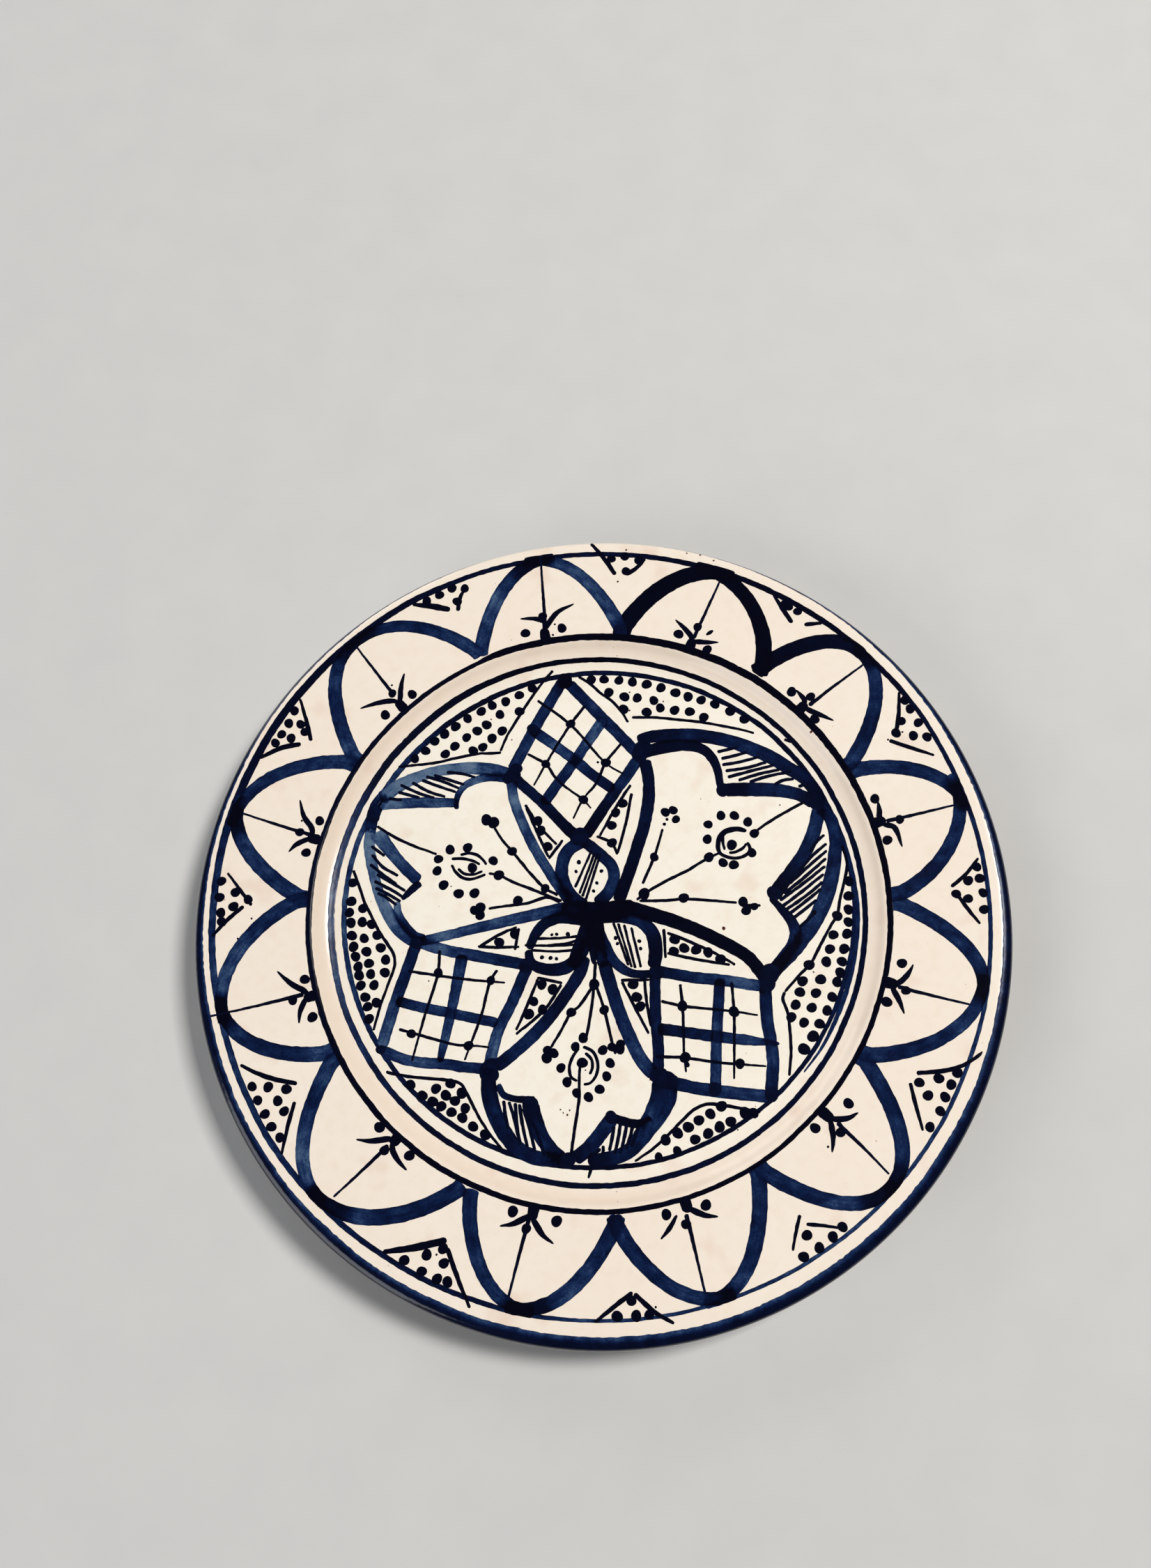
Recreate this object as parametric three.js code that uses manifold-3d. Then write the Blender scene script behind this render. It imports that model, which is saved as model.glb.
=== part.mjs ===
// Hand painted ceramic plate: a thrown clay body on a foot ring, glazed all over, with the painted
// bands and motifs as thin layers of their own on top of the glaze.
//
// Millimetres, +Z up. The plate lies on its foot ring with the origin under its centre. Angles of
// the rim decoration are in degrees, clockwise from +Y, seen from above.

import * as THREE from 'three';
import { mergeVertices } from 'three/addons/utils/BufferGeometryUtils.js';
import Module from 'manifold-3d';

const wasm = await Module();
wasm.setup();

// Sizes
const SEGMENTS = 54; // facets round the plate
const FLOOR_Z = 14.4; // top of the glaze on the flat well
const FACE_GLAZE = 0.6;
const BACK_GLAZE = 0.5;
const PAINT = 0.4; // thickness of a painted layer
const LIFT = 0.05; // air under a painted layer, so that it never bites into the facets below
const NEIGHBOUR_GAP = 0.3;
const WELL_PAINT_R = 92.9; // the well's motifs stop here
const END_CORNERS = 8; // corners of a stroke's round end

const FOOT_TOP_Z = 6.9;
const FOOT_OUTER_R = 80;
const FOOT_INNER_R = 69;
const RECESS_CLAY_Z = 6.9;

// Finished surface of the face, from the axis out to the widest point of the lip.
const FACE_PROFILE = [
  [0, FLOOR_Z],
  [93.4, FLOOR_Z],
  [95.2, FLOOR_Z + 0.05],
  [98.7, 15.2],
  [100.6, 16.0],
  [103.6, 17.9],
  [106.9, 19.35],
  [109.2, 19.8],
  [142.2, 22.5],
  [144.0, 22.65],
  [147.2, 22.7],
  [148.8, 21.8],
  [149.6, 19.6],
];

// Finished surface of the back, from the widest point of the lip in to the foot ring.
const BACK_PROFILE = [
  [149.6, 19.6],
  [149.3, 17.6],
  [147.9, 16.1],
  [144.5, 15.2],
  [107.0, 11.4],
  [87.0, 8.6],
  [81.5, 7.4],
];

const LIP_BAND_START_R = 147.2;
const RIM_LINE = [142.2, 144.0];
const SHOULDER_LINE = [106.9, 109.2];
const WELL_LINE_OUTER = [98.7, 100.6];
const WELL_LINE_INNER = [93.4, 95.2];

// Rim petals: [left foot, tip, right foot] in degrees. Each is one arch of two brush strokes.
const PETAL_WIDTH = 4.8;
const PETAL_FOOT_R = 111.4;
const PETAL_STEPS = 8; // sections to each half of a petal
const PETAL_TIP_R = 139.0;
const PETAL_FOOT_INSET = 1.75; // degrees kept clear on each side of the V between two petals
const RIM_PETALS = [
  [-25.0, -9.5, 4.7],
  [4.7, 19.5, 33.8],
  [33.8, 46.5, 61.0],
  [61.0, 73.5, 88.5],
  [88.5, 102.0, 119.5],
  [119.5, 133.0, 148.0],
  [148.0, 161.5, 175.8],
  [175.8, 189.5, 204.0],
  [204.0, 220.5, 239.5],
  [239.5, 254.0, 271.0],
  [271.0, 284.0, 301.0],
  [301.0, 317.0, 335.0],
];

// Motifs of the well: [stroke width, points], in millimetres.
const CHECK_PANELS = [
  [
    [4.6, [[-13.5, 90.5], [-22.5, 73], [-32.5, 54.5]]],
    [4.6, [[-13.5, 90.5], [1, 77], [16.8, 60.2]]],
    [4.8, [[-32.5, 54.5], [-19.7, 42], [-6.2, 28]]],
    [4.5, [[-6.2, 28], [6, 45.5], [16.8, 60.2]]],
    [4.2, [[-24.5, 70.5], [-9, 59], [6.5, 47]]],
    [4.2, [[0.8, 75], [-9.5, 58.5], [-19.5, 42.5]]],
  ],
  [
    [4.5, [[-66.5, -13.5], [-49, -16.5], [-26, -21.5]]],
    [4.5, [[-66.5, -13.5], [-72, -32], [-77, -51.5]]],
    [4.0, [[-77, -51.5], [-57, -57.5], [-39, -59.5]]],
    [4.3, [[-26, -21.5], [-33, -38], [-39, -59.5]]],
    [3.8, [[-72.5, -34.5], [-53, -39], [-34.5, -42.5]]],
    [3.8, [[-49.6, -17.5], [-53, -39], [-56.4, -57.5]]],
  ],
  [
    [4.3, [[22, -23.5], [42, -25.5], [62, -28.8]]],
    [4.2, [[22, -23.5], [22.2, -43], [23.2, -62]]],
    [3.9, [[23.2, -62], [43, -65.5], [62.5, -67.6]]],
    [4.2, [[62, -28.8], [63.5, -48], [62.5, -67.6]]],
    [4.2, [[22.5, -44.3], [44, -46.9], [63.5, -49]]],
    [4.1, [[45.8, -25.8], [44.4, -46.5], [43.5, -65.6]]],
  ],
];

const BUDS = [
  [4.3, [[-2.5, 24.5], [-9, 23.6], [-13, 17], [-12, 9.5], [-7, 3.5], [-1, 1.2],
    [4.5, 6.5], [6.6, 13], [5, 20], [-2.5, 24.5]]],
  [4.0, [[-5, -5.2], [-13, -3.6], [-20, -5.8], [-24, -11.5], [-23, -19.5], [-16, -22.2],
    [-9.5, -20.8], [-5.5, -13], [-5, -5.2]]],
  [4.3, [[3.5, -4.4], [10, -3.2], [17.5, -5.4], [21.6, -11.5], [21, -20], [14, -23.6],
    [7.2, -20], [4.2, -12], [3.5, -4.4]]],
];

const CENTRE_KNOT = [
  [6.0, [[-10.5, -0.6], [0, -1.8], [11, -0.8]]],
  [4.6, [[0, -2], [-0.6, -10], [-0.8, -17]]],
];

const TULIPS = [
  [
    [4.6, [[-35.5, 49.8], [-44, 54.2], [-54, 55.6], [-65, 53.6], [-76, 48.6], [-83.5, 41.5],
      [-86, 33], [-86.6, 22], [-84.6, 11], [-80.5, 1.5], [-74, -7], [-68.8, -10.8]]],
    [3.2, [[-42, 52.4], [-49.5, 51], [-53.6, 46.8], [-54.6, 40]]],
    [3.2, [[-54.6, 41], [-69, 41], [-84.4, 39.6]]],
    [5.0, [[-86, 31], [-77.5, 23], [-67.4, 11.5]]],
    [3.0, [[-67.4, 11.5], [-73, 5.4], [-77, -2.2]]],
    [4.2, [[-66, -9.6], [-47, -7.4], [-24, -1.8], [-14.5, 0.4]]],
    [4.3, [[-35.5, 49.8], [-31.5, 38], [-24.5, 23.6], [-16.5, 9.5], [-12, 4]]],
  ],
  [
    [4.8, [[19.5, 60.5], [26, 66.6], [40, 68.2], [53, 65.8], [66, 60.6], [76, 54], [83, 44.6],
      [87.4, 33], [88.4, 20], [86, 6], [80.5, -6], [72, -16.4], [65.8, -24.4]]],
    [3.6, [[30, 64.6], [40, 62.8], [45.4, 56.6], [47.2, 46]]],
    [4.4, [[47.2, 46], [63, 46.2], [82.6, 41]]],
    [5.0, [[84, 39], [76, 21.4], [65, 5.6]]],
    [3.6, [[65, 5.6], [70.6, -1.8], [74.6, -11]]],
    [5.2, [[64.5, -24.6], [56, -16.4], [41, -8], [22, -0.8], [13, 2.4]]],
    [4.8, [[19.5, 60.5], [19.8, 46], [16.6, 28], [9.5, 6.5]]],
  ],
  [
    [5.2, [[-35.6, -60.5], [-36.8, -68], [-34.4, -77], [-27.5, -85], [-15, -89.6], [-3, -90.2],
      [9.5, -88], [19.5, -80], [24.6, -71], [25.6, -64.5]]],
    [2.8, [[-35.2, -68.6], [-28, -69.9], [-21.4, -70]]],
    [5.0, [[-21.4, -70], [-18.4, -80.5], [-10.2, -88.6]]],
    [2.8, [[22.8, -75.8], [14, -77.4], [5.8, -75]]],
    [5.0, [[5.8, -75], [0, -82], [-7.4, -88.8]]],
    [4.8, [[-35.6, -60.5], [-30.5, -52.4], [-18.5, -40.5], [-8.5, -26.5], [-4, -18]]],
    [4.8, [[1.6, -19], [5.8, -34], [12.6, -49], [20, -58.4], [25.6, -64.5]]],
  ],
];

// Colours of the object's surfaces
const MATERIALS = {
  clay: { color: 0xb07a55, roughness: 0.85, metalness: 0 },
  foot: { color: 0xa8704c, roughness: 0.9, metalness: 0 },
  glaze: { color: 0xf1e4cf, roughness: 0.22, metalness: 0 },
  cobalt: { color: 0x16305e, roughness: 0.25, metalness: 0 },
  black: { color: 0x0a0c18, roughness: 0.25, metalness: 0 },
};

const plate = new THREE.Group();

function addPiece(name, geometry, look) {
  const mesh = new THREE.Mesh(geometry, new THREE.MeshStandardMaterial(MATERIALS[look]));
  mesh.name = name;
  plate.add(mesh);
}

// Revolved pieces -------------------------------------------------------------------------------

// Twice the signed area of a profile: its sign gives the way that the profile runs.
function profileTurn(profile) {
  let sum = 0;
  profile.forEach(([r, z], i) => {
    const [nextR, nextZ] = profile[(i + 1) % profile.length];
    sum += r * nextZ - nextR * z;
  });
  return sum;
}

// Turns a profile of [radius, height] points about Z. It starts and ends on the axis, or closes.
function revolve(profile, closes) {
  const ordered = profileTurn(profile) > 0 ? [...profile] : [...profile].reverse();
  if (closes) {
    ordered.push(ordered[0]);
  }
  const points = ordered.map(([r, z]) => new THREE.Vector2(r, z));
  const geometry = new THREE.LatheGeometry(points, SEGMENTS);
  return geometry.rotateX(Math.PI / 2);
}

// Moves each point of a surface profile along its normal, out of the body for a positive distance.
// A point on the axis stays there.
function offsetProfile(profile, distance) {
  return profile.map(([r, z], i) => {
    const before = profile[Math.max(i - 1, 0)];
    const after = profile[Math.min(i + 1, profile.length - 1)];
    const run = new THREE.Vector2(after[0] - before[0], after[1] - before[1]).normalize();
    const movedR = r === 0 ? 0 : r - run.y * distance;
    return [movedR, z + run.x * distance];
  });
}

// The face runs outwards and the back inwards, so one joined profile has its normals all outside.
const skin = [...FACE_PROFILE, ...BACK_PROFILE.slice(1)];
const lipIndex = FACE_PROFILE.length - 1;

function claySurface() {
  const face = offsetProfile(skin, -FACE_GLAZE).slice(0, lipIndex + 1);
  const back = offsetProfile(skin, -BACK_GLAZE).slice(lipIndex + 1);
  return [...face, ...back];
}

const clay = claySurface();

function clayBody() {
  const underside = [[FOOT_OUTER_R, FOOT_TOP_Z], [0, RECESS_CLAY_Z]];
  return revolve([...clay, ...underside], false);
}

function footRing() {
  const section = [
    [FOOT_OUTER_R, FOOT_TOP_Z],
    [79.4, 1.6],
    [78.0, 0.2],
    [76.6, 0],
    [72.6, 0],
    [71.0, 0.4],
    [70.0, 1.8],
    [FOOT_INNER_R, FOOT_TOP_Z],
  ];
  return revolve(section, true);
}

function faceGlaze() {
  return revolve([...FACE_PROFILE, ...clay.slice(0, lipIndex + 1).reverse()], false);
}

function backGlaze() {
  return revolve([...skin.slice(lipIndex), ...clay.slice(lipIndex).reverse()], true);
}

function baseGlaze() {
  const bottom = RECESS_CLAY_Z - BACK_GLAZE;
  const edge = FOOT_INNER_R - 0.4;
  return revolve([[0, bottom], [edge, bottom], [edge, RECESS_CLAY_Z], [0, RECESS_CLAY_Z]], false);
}

// A painted ring over the skin's points from the first radius to the last.
function paintedRing(indices) {
  const under = offsetProfile(skin, LIFT).filter((_, i) => indices.includes(i));
  const over = offsetProfile(skin, PAINT).filter((_, i) => indices.includes(i));
  return revolve([...under, ...over.reverse()], true);
}

function ringAt([innerR, outerR]) {
  const inner = skin.findIndex(([r]) => r === innerR);
  const outer = skin.findIndex(([r]) => r === outerR);
  return paintedRing([inner, outer]);
}

function lipBand() {
  const first = skin.findIndex(([r]) => r === LIP_BAND_START_R);
  const last = first + 5;
  return paintedRing(skin.map((_, i) => i).filter((i) => i >= first && i <= last));
}

// Rim petals ------------------------------------------------------------------------------------

function faceHeight(radius) {
  const i = FACE_PROFILE.findIndex(([r]) => r >= radius);
  const [r0, z0] = FACE_PROFILE[i - 1];
  const [r1, z1] = FACE_PROFILE[i];
  return z0 + ((z1 - z0) * (radius - r0)) / (r1 - r0);
}

// Centreline of a petal: a full quarter curve up from the left foot, and a straighter one down to
// the right foot, where the two brush strokes cross at the tip.
function petalCentreline([leftFoot, tip, rightFoot]) {
  const left = leftFoot + PETAL_FOOT_INSET;
  const right = rightFoot - PETAL_FOOT_INSET;
  const rise = PETAL_TIP_R - PETAL_FOOT_R;
  const points = [];
  for (let i = 0; i < PETAL_STEPS; i += 1) {
    const t = (i / PETAL_STEPS) ** 1.5;
    points.push([left + (tip - left) * t, PETAL_FOOT_R + rise * Math.sin((Math.PI / 2) * t) ** 0.75]);
  }
  for (let i = 0; i <= PETAL_STEPS; i += 1) {
    const t = i / PETAL_STEPS;
    const fall = Math.cos((Math.PI / 2) * Math.min(t, 0.999)) ** 0.93;
    points.push([tip + (right - tip) * t, PETAL_FOOT_R + rise * fall]);
  }
  return points.map(([degrees, r]) => {
    const angle = THREE.MathUtils.degToRad(degrees);
    return new THREE.Vector2(r * Math.sin(angle), r * Math.cos(angle));
  });
}

// Left and right edges of a stroke of the given width along a centreline.
function strokeEdges(line, width) {
  return line.map((point, i) => {
    const before = line[Math.max(i - 1, 0)];
    const after = line[Math.min(i + 1, line.length - 1)];
    const along = after.clone().sub(before).normalize();
    const side = new THREE.Vector2(-along.y, along.x).multiplyScalar(width / 2);
    return [point.clone().add(side), point.clone().sub(side)];
  });
}

// A stroke laid on the sloping rim, four corners to each section, closed at both ends.
function rimPetal(row) {
  const positions = [];
  const indices = [];
  strokeEdges(petalCentreline(row), PETAL_WIDTH).forEach(([left, right]) => {
    [[left, PAINT], [right, PAINT], [right, LIFT], [left, LIFT]].forEach(([p, height]) => {
      positions.push(p.x, p.y, faceHeight(p.length()) + height);
    });
  });
  const sections = positions.length / 12;
  for (let i = 0; i < sections - 1; i += 1) {
    for (let corner = 0; corner < 4; corner += 1) {
      const a = i * 4 + corner;
      const b = i * 4 + ((corner + 1) % 4);
      indices.push(a, b, a + 4);
      indices.push(b, b + 4, a + 4);
    }
  }
  const end = (sections - 1) * 4;
  indices.push(0, 2, 1, 0, 3, 2);
  indices.push(end, end + 1, end + 2, end, end + 2, end + 3);
  const geometry = new THREE.BufferGeometry();
  geometry.setAttribute('position', new THREE.Float32BufferAttribute(positions, 3));
  geometry.setIndex(indices);
  return geometry;
}

// Motifs of the well ----------------------------------------------------------------------------

function toManifold(geometry) {
  const bare = geometry.clone();
  bare.deleteAttribute('normal');
  bare.deleteAttribute('uv');
  const merged = mergeVertices(bare);
  return new wasm.Manifold(new wasm.Mesh({
    numProp: 3,
    vertProperties: Float32Array.from(merged.attributes.position.array),
    triVerts: Uint32Array.from(merged.index.array),
  }));
}

function toGeometry(solid) {
  const mesh = solid.getMesh();
  const geometry = new THREE.BufferGeometry();
  geometry.setAttribute('position', new THREE.Float32BufferAttribute(mesh.vertProperties, 3));
  geometry.setIndex(Array.from(mesh.triVerts));
  return geometry;
}

// A flat polygon given thickness. A grown one is also taller, so that it cuts right through.
function slab(corners, grow) {
  const options = { depth: PAINT - LIFT + 2 * grow, bevelEnabled: false };
  const geometry = new THREE.ExtrudeGeometry(new THREE.Shape(corners), options);
  return toManifold(geometry.translate(0, 0, FLOOR_Z + LIFT - grow));
}

function roundEnd(centre, radius, grow) {
  const corners = [];
  for (let i = 0; i < END_CORNERS; i += 1) {
    const angle = (2 * Math.PI * i) / END_CORNERS;
    const spoke = new THREE.Vector2(Math.cos(angle), Math.sin(angle)).multiplyScalar(radius);
    corners.push(spoke.add(centre));
  }
  return slab(corners, grow);
}

// One brush stroke on the flat well: a chain of slabs along a smooth line, with round ends.
function stroke([width, points], grow = 0) {
  const halfWidth = width / 2 + grow;
  const knots = points.map(([x, y]) => new THREE.Vector2(x, y));
  const curve = new THREE.SplineCurve(knots);
  const line = knots.length === 3 ? knots : curve.getPoints((knots.length - 1) * 2);
  const edges = strokeEdges(line, 2 * halfWidth);
  const pieces = [line[0], line[line.length - 1]].map((end) => roundEnd(end, halfWidth, grow));
  for (let i = 0; i < edges.length - 1; i += 1) {
    const [left, right] = edges[i];
    const [nextLeft, nextRight] = edges[i + 1];
    pieces.push(slab([left, right, nextRight, nextLeft], grow));
  }
  return pieces.reduce((whole, next) => whole.add(next));
}

function motif(strokes, grow = 0) {
  return strokes.map((row) => stroke(row, grow)).reduce((whole, next) => whole.add(next));
}

function largestPiece(solid) {
  const pieces = solid.decompose();
  return pieces.reduce((best, next) => (next.volume() > best.volume() ? next : best));
}

function wellDisc() {
  const disc = new THREE.CylinderGeometry(WELL_PAINT_R, WELL_PAINT_R, 10, 108);
  return toManifold(disc.rotateX(Math.PI / 2).translate(0, 0, FLOOR_Z));
}

// Adds the well's motifs in turn. Each one keeps clear of all that were painted before it.
function addWellMotifs() {
  const groups = [
    ['check_panel', CHECK_PANELS, 'cobalt'],
    ['bud', BUDS.map((row) => [row]), 'cobalt'],
    ['centre_knot', [CENTRE_KNOT], 'black'],
    ['tulip', TULIPS, 'cobalt'],
  ];
  const disc = wellDisc();
  let taken = null;
  groups.forEach(([name, motifs, look]) => {
    motifs.forEach((strokes, i) => {
      const open = motif(strokes).intersect(disc);
      const solid = taken ? open.subtract(taken) : open;
      const grown = motif(strokes, NEIGHBOUR_GAP);
      taken = taken ? taken.add(grown) : grown;
      const label = motifs.length === 1 ? name : `${name}_${'abc'[i]}`;
      addPiece(label, toGeometry(largestPiece(solid)), look);
    });
  });
}

// The plate -------------------------------------------------------------------------------------

addPiece('clay_body', clayBody(), 'clay');
addPiece('foot_ring', footRing(), 'foot');
addPiece('face_glaze', faceGlaze(), 'glaze');
addPiece('back_glaze', backGlaze(), 'glaze');
addPiece('base_glaze', baseGlaze(), 'glaze');
addPiece('lip_band', lipBand(), 'cobalt');
addPiece('rim_line', ringAt(RIM_LINE), 'cobalt');
addPiece('shoulder_line', ringAt(SHOULDER_LINE), 'black');
addPiece('well_line_outer', ringAt(WELL_LINE_OUTER), 'black');
addPiece('well_line_inner', ringAt(WELL_LINE_INNER), 'cobalt');
RIM_PETALS.forEach((row, i) => {
  addPiece(`rim_petal_${String(i + 1).padStart(2, '0')}`, rimPetal(row), 'cobalt');
});
addWellMotifs();

export default plate;
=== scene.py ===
"""A hand painted ceramic plate: the looks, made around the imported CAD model.

The plate lies on its foot ring at the origin, with +Z up out of the well and +Y towards the top of
the painted design. Shapes are worked out in millimetres and turned into metres when a mesh is
made. Places on the rim are (degrees clockwise from +Y, radius), and places in the well are (x, y).
Every brush stroke is a thin ribbon, and every dot a low dome, laid on the glazed face. A brush
stroke is written as (width, tone, points): a tone is 0 where the cobalt is thin and watery and 1
where it is black, and a width or tone may be a tuple that is spread evenly along the stroke.
"""

import math

import bpy
import numpy as np
from mathutils import Matrix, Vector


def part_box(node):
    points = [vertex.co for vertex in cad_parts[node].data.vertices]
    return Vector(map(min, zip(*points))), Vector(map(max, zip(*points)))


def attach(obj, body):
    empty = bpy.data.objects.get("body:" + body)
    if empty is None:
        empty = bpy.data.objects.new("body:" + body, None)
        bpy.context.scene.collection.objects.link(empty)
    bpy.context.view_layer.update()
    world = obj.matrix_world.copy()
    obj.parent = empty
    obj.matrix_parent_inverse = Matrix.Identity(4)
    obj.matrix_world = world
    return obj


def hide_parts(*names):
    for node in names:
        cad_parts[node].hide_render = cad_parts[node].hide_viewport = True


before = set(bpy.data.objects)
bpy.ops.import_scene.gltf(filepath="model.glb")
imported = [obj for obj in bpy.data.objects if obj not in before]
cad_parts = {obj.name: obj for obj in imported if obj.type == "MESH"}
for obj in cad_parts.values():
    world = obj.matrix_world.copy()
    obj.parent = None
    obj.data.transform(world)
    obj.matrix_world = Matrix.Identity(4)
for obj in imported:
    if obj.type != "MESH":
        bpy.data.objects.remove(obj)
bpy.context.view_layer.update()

MM = 0.001
RANDOM = np.random.default_rng(31)

# Sizes of the body, in millimetres ---------------------------------------------------------------


def node_box(name):
    """Lowest and highest corner of a CAD node in millimetres."""
    return [np.array(corner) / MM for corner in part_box(name)]


CAD_PAINT_LIFT = 0.05
FLOOR_Z = node_box("check_panel_a")[0][2] - CAD_PAINT_LIFT
CREST_Z = node_box("face_glaze")[1][2]
FOOT_OUTER_R = node_box("foot_ring")[1][0]
FOOT_TOP_Z = node_box("foot_ring")[1][2]
BASE_R = node_box("base_glaze")[1][0]
GLAZE_THICKNESS = 0.6

# Profiles of the body as (radius, height): the face from the centre to the edge of the lip, the
# back from there to the foot, and the foot ring all the way round.
FACE_PROFILE = [
    (0, FLOOR_Z),
    (60, FLOOR_Z),
    (90, FLOOR_Z),
    (93.5, FLOOR_Z + 0.08),
    (96.2, FLOOR_Z + 0.36),
    (98.6, FLOOR_Z + 0.9),
    (100.6, FLOOR_Z + 1.56),
    (102.4, FLOOR_Z + 2.34),
    (104.0, FLOOR_Z + 3.3),
    (105.2, FLOOR_Z + 4.36),
    (106.1, FLOOR_Z + 5.14),
    (106.9, FLOOR_Z + 5.54),
    (108.6, FLOOR_Z + 5.76),
    (125, CREST_Z - 1.65),
    (142.2, CREST_Z - 0.25),
    (144.8, CREST_Z - 0.05),
    (146.6, CREST_Z),
    (148.2, CREST_Z - 0.45),
    (149.2, CREST_Z - 1.5),
    (149.6, CREST_Z - 3.1),
]
BACK_PROFILE = [
    (149.6, CREST_Z - 3.1),
    (149.3, CREST_Z - 5.0),
    (147.9, CREST_Z - 6.5),
    (144.5, CREST_Z - 7.5),
    (125, 13.3),
    (107, 11.4),
    (87, 8.7),
    (FOOT_OUTER_R + 1.5, FOOT_TOP_Z + 0.6),
]
FOOT_PROFILE = [
    (FOOT_OUTER_R - 0.1, FOOT_TOP_Z + 0.1),
    (79.7, 4.6),
    (79.3, 2.0),
    (78.4, 0.55),
    (76.8, 0.0),
    (74.6, 0.0),
    (72.5, 0.0),
    (70.9, 0.6),
    (70.1, 2.2),
    (69.5, 4.6),
    (BASE_R + 0.3, FOOT_TOP_Z + 0.1),
]

# The lip isn't quite round or quite centred on the painted circles.
LIP_WARP_START_R = 144.0
LIP_WARP_END_R = 149.6
LIP_GROWTH = 1.0
LIP_SHIFT_X = 0.9
LIP_SHIFT_Y = -2.3

BLACK = 0.97  # tone of the black marks
DOT = 1.95  # radius of a plain dot

# Rings: (degrees, radius, width, tone) -----------------------------------------------------------

RIM_LINE = [
    (0, 142.4, 2.0, 0.84),
    (20, 142.6, 2.3, 0.96),
    (50, 143.1, 2.2, 0.94),
    (60, 143.4, 1.8, 0.84),
    (80, 143.3, 1.7, 0.68),
    (120, 143.3, 1.4, 0.52),
    (150, 143.3, 1.3, 0.5),
    (165, 143.1, 1.2, 0.6),
    (180, 143.0, 1.2, 0.55),
    (195, 142.9, 1.7, 0.8),
    (210, 142.8, 1.9, 0.82),
    (230, 143.1, 2.2, 0.64),
    (250, 142.7, 2.3, 0.6),
    (270, 142.9, 2.7, 0.56),
    (285, 143.5, 3.2, 0.84),
    (305, 143.5, 3.3, 0.92),
    (320, 143.2, 2.9, 0.9),
    (330, 143.1, 2.6, 0.88),
    (340, 142.6, 2.0, 0.85),
    (350, 142.4, 2.0, 0.88),
]
SHOULDER_LINE = [
    (0, 107.8, 2.7, 1.0),
    (20, 107.9, 3.1, 1.0),
    (35, 108.2, 3.0, 1.0),
    (75, 108.1, 2.4, 0.99),
    (100, 107.9, 2.0, 0.99),
    (130, 107.7, 1.8, 0.99),
    (150, 107.9, 1.6, 0.98),
    (200, 108.3, 2.0, 0.98),
    (225, 108.2, 2.15, 0.97),
    (250, 107.6, 2.2, 0.95),
    (270, 107.3, 2.1, 0.92),
    (285, 107.2, 1.9, 0.9),
    (300, 107.4, 1.9, 0.92),
    (334, 107.6, 1.7, 0.97),
    (338, 108.0, 2.6, 1.0),
]
WELL_LINE_OUTER = [
    (0, 99.8, 1.9, 1.0),
    (45, 99.8, 1.9, 0.94),
    (75, 99.7, 2.0, 0.87),
    (130, 99.4, 2.0, 0.86),
    (180, 99.5, 2.0, 0.87),
    (215, 99.8, 2.0, 0.88),
    # From 240 to 300 degrees the cobalt of this line is thin and watery. At 275 degrees its tone is
    # lower still: a painted highlight where a glint falls on the line.
    (240, 99.8, 2.2, 0.68),
    (255, 99.8, 2.3, 0.5),
    (275, 99.8, 2.4, 0.46),
    (290, 99.5, 2.5, 0.54),
    (300, 99.5, 2.6, 0.88),
    (325, 99.9, 2.6, 0.95),
    (345, 100.0, 1.9, 0.99),
]
WELL_LINE_INNER = [
    (0, 94.6, 1.95, 0.82),
    (20, 95.1, 1.95, 0.86),
    (45, 96.0, 2.0, 0.9),
    (75, 96.4, 1.9, 0.84),
    (90, 95.9, 1.8, 0.74),
    (105, 94.9, 1.7, 0.78),
    (120, 94.3, 1.6, 0.82),
    (150, 93.4, 1.6, 0.9),
    (180, 93.3, 1.7, 0.93),
    (200, 93.8, 1.9, 0.88),
    (225, 94.4, 1.9, 0.82),
    (245, 94.7, 1.95, 0.64),
    (265, 95.1, 2.0, 0.5),
    (285, 95.1, 2.1, 0.52),
    (300, 94.5, 2.2, 0.52),
    (310, 94.1, 2.4, 0.64),
    (322, 94.0, 2.3, 0.9),
    (335, 94.1, 2.2, 0.92),
    (350, 94.4, 2.1, 0.88),
]
# A second pass of the brush beside the inner line, which runs out.
WELL_LINE_OVERSHOOT = (
    (1.2, 1.8, 1.8, 1.8, 0.5),
    (0.7, 0.7, 0.66, 0.6),
    [(67, 96.2), (75, 96.6), (90, 96.9), (105, 96.5), (120, 96.3), (128.3, 95.8)],
)
# (degrees, radius of the band's inner edge)
LIP_BAND_EDGE = [
    (0, 148.4),
    (14, 148.1),
    (22, 147.8),
    (60, 147.5),
    (100, 147.6),
    (120, 148.0),
    (165, 148.4),
    (180, 148.0),
    (205, 147.3),
    (255, 146.2),
    (315, 146.6),
    (335, 147.2),
    (345, 148.2),
]

# Petals of the rim -------------------------------------------------------------------------------

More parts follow.
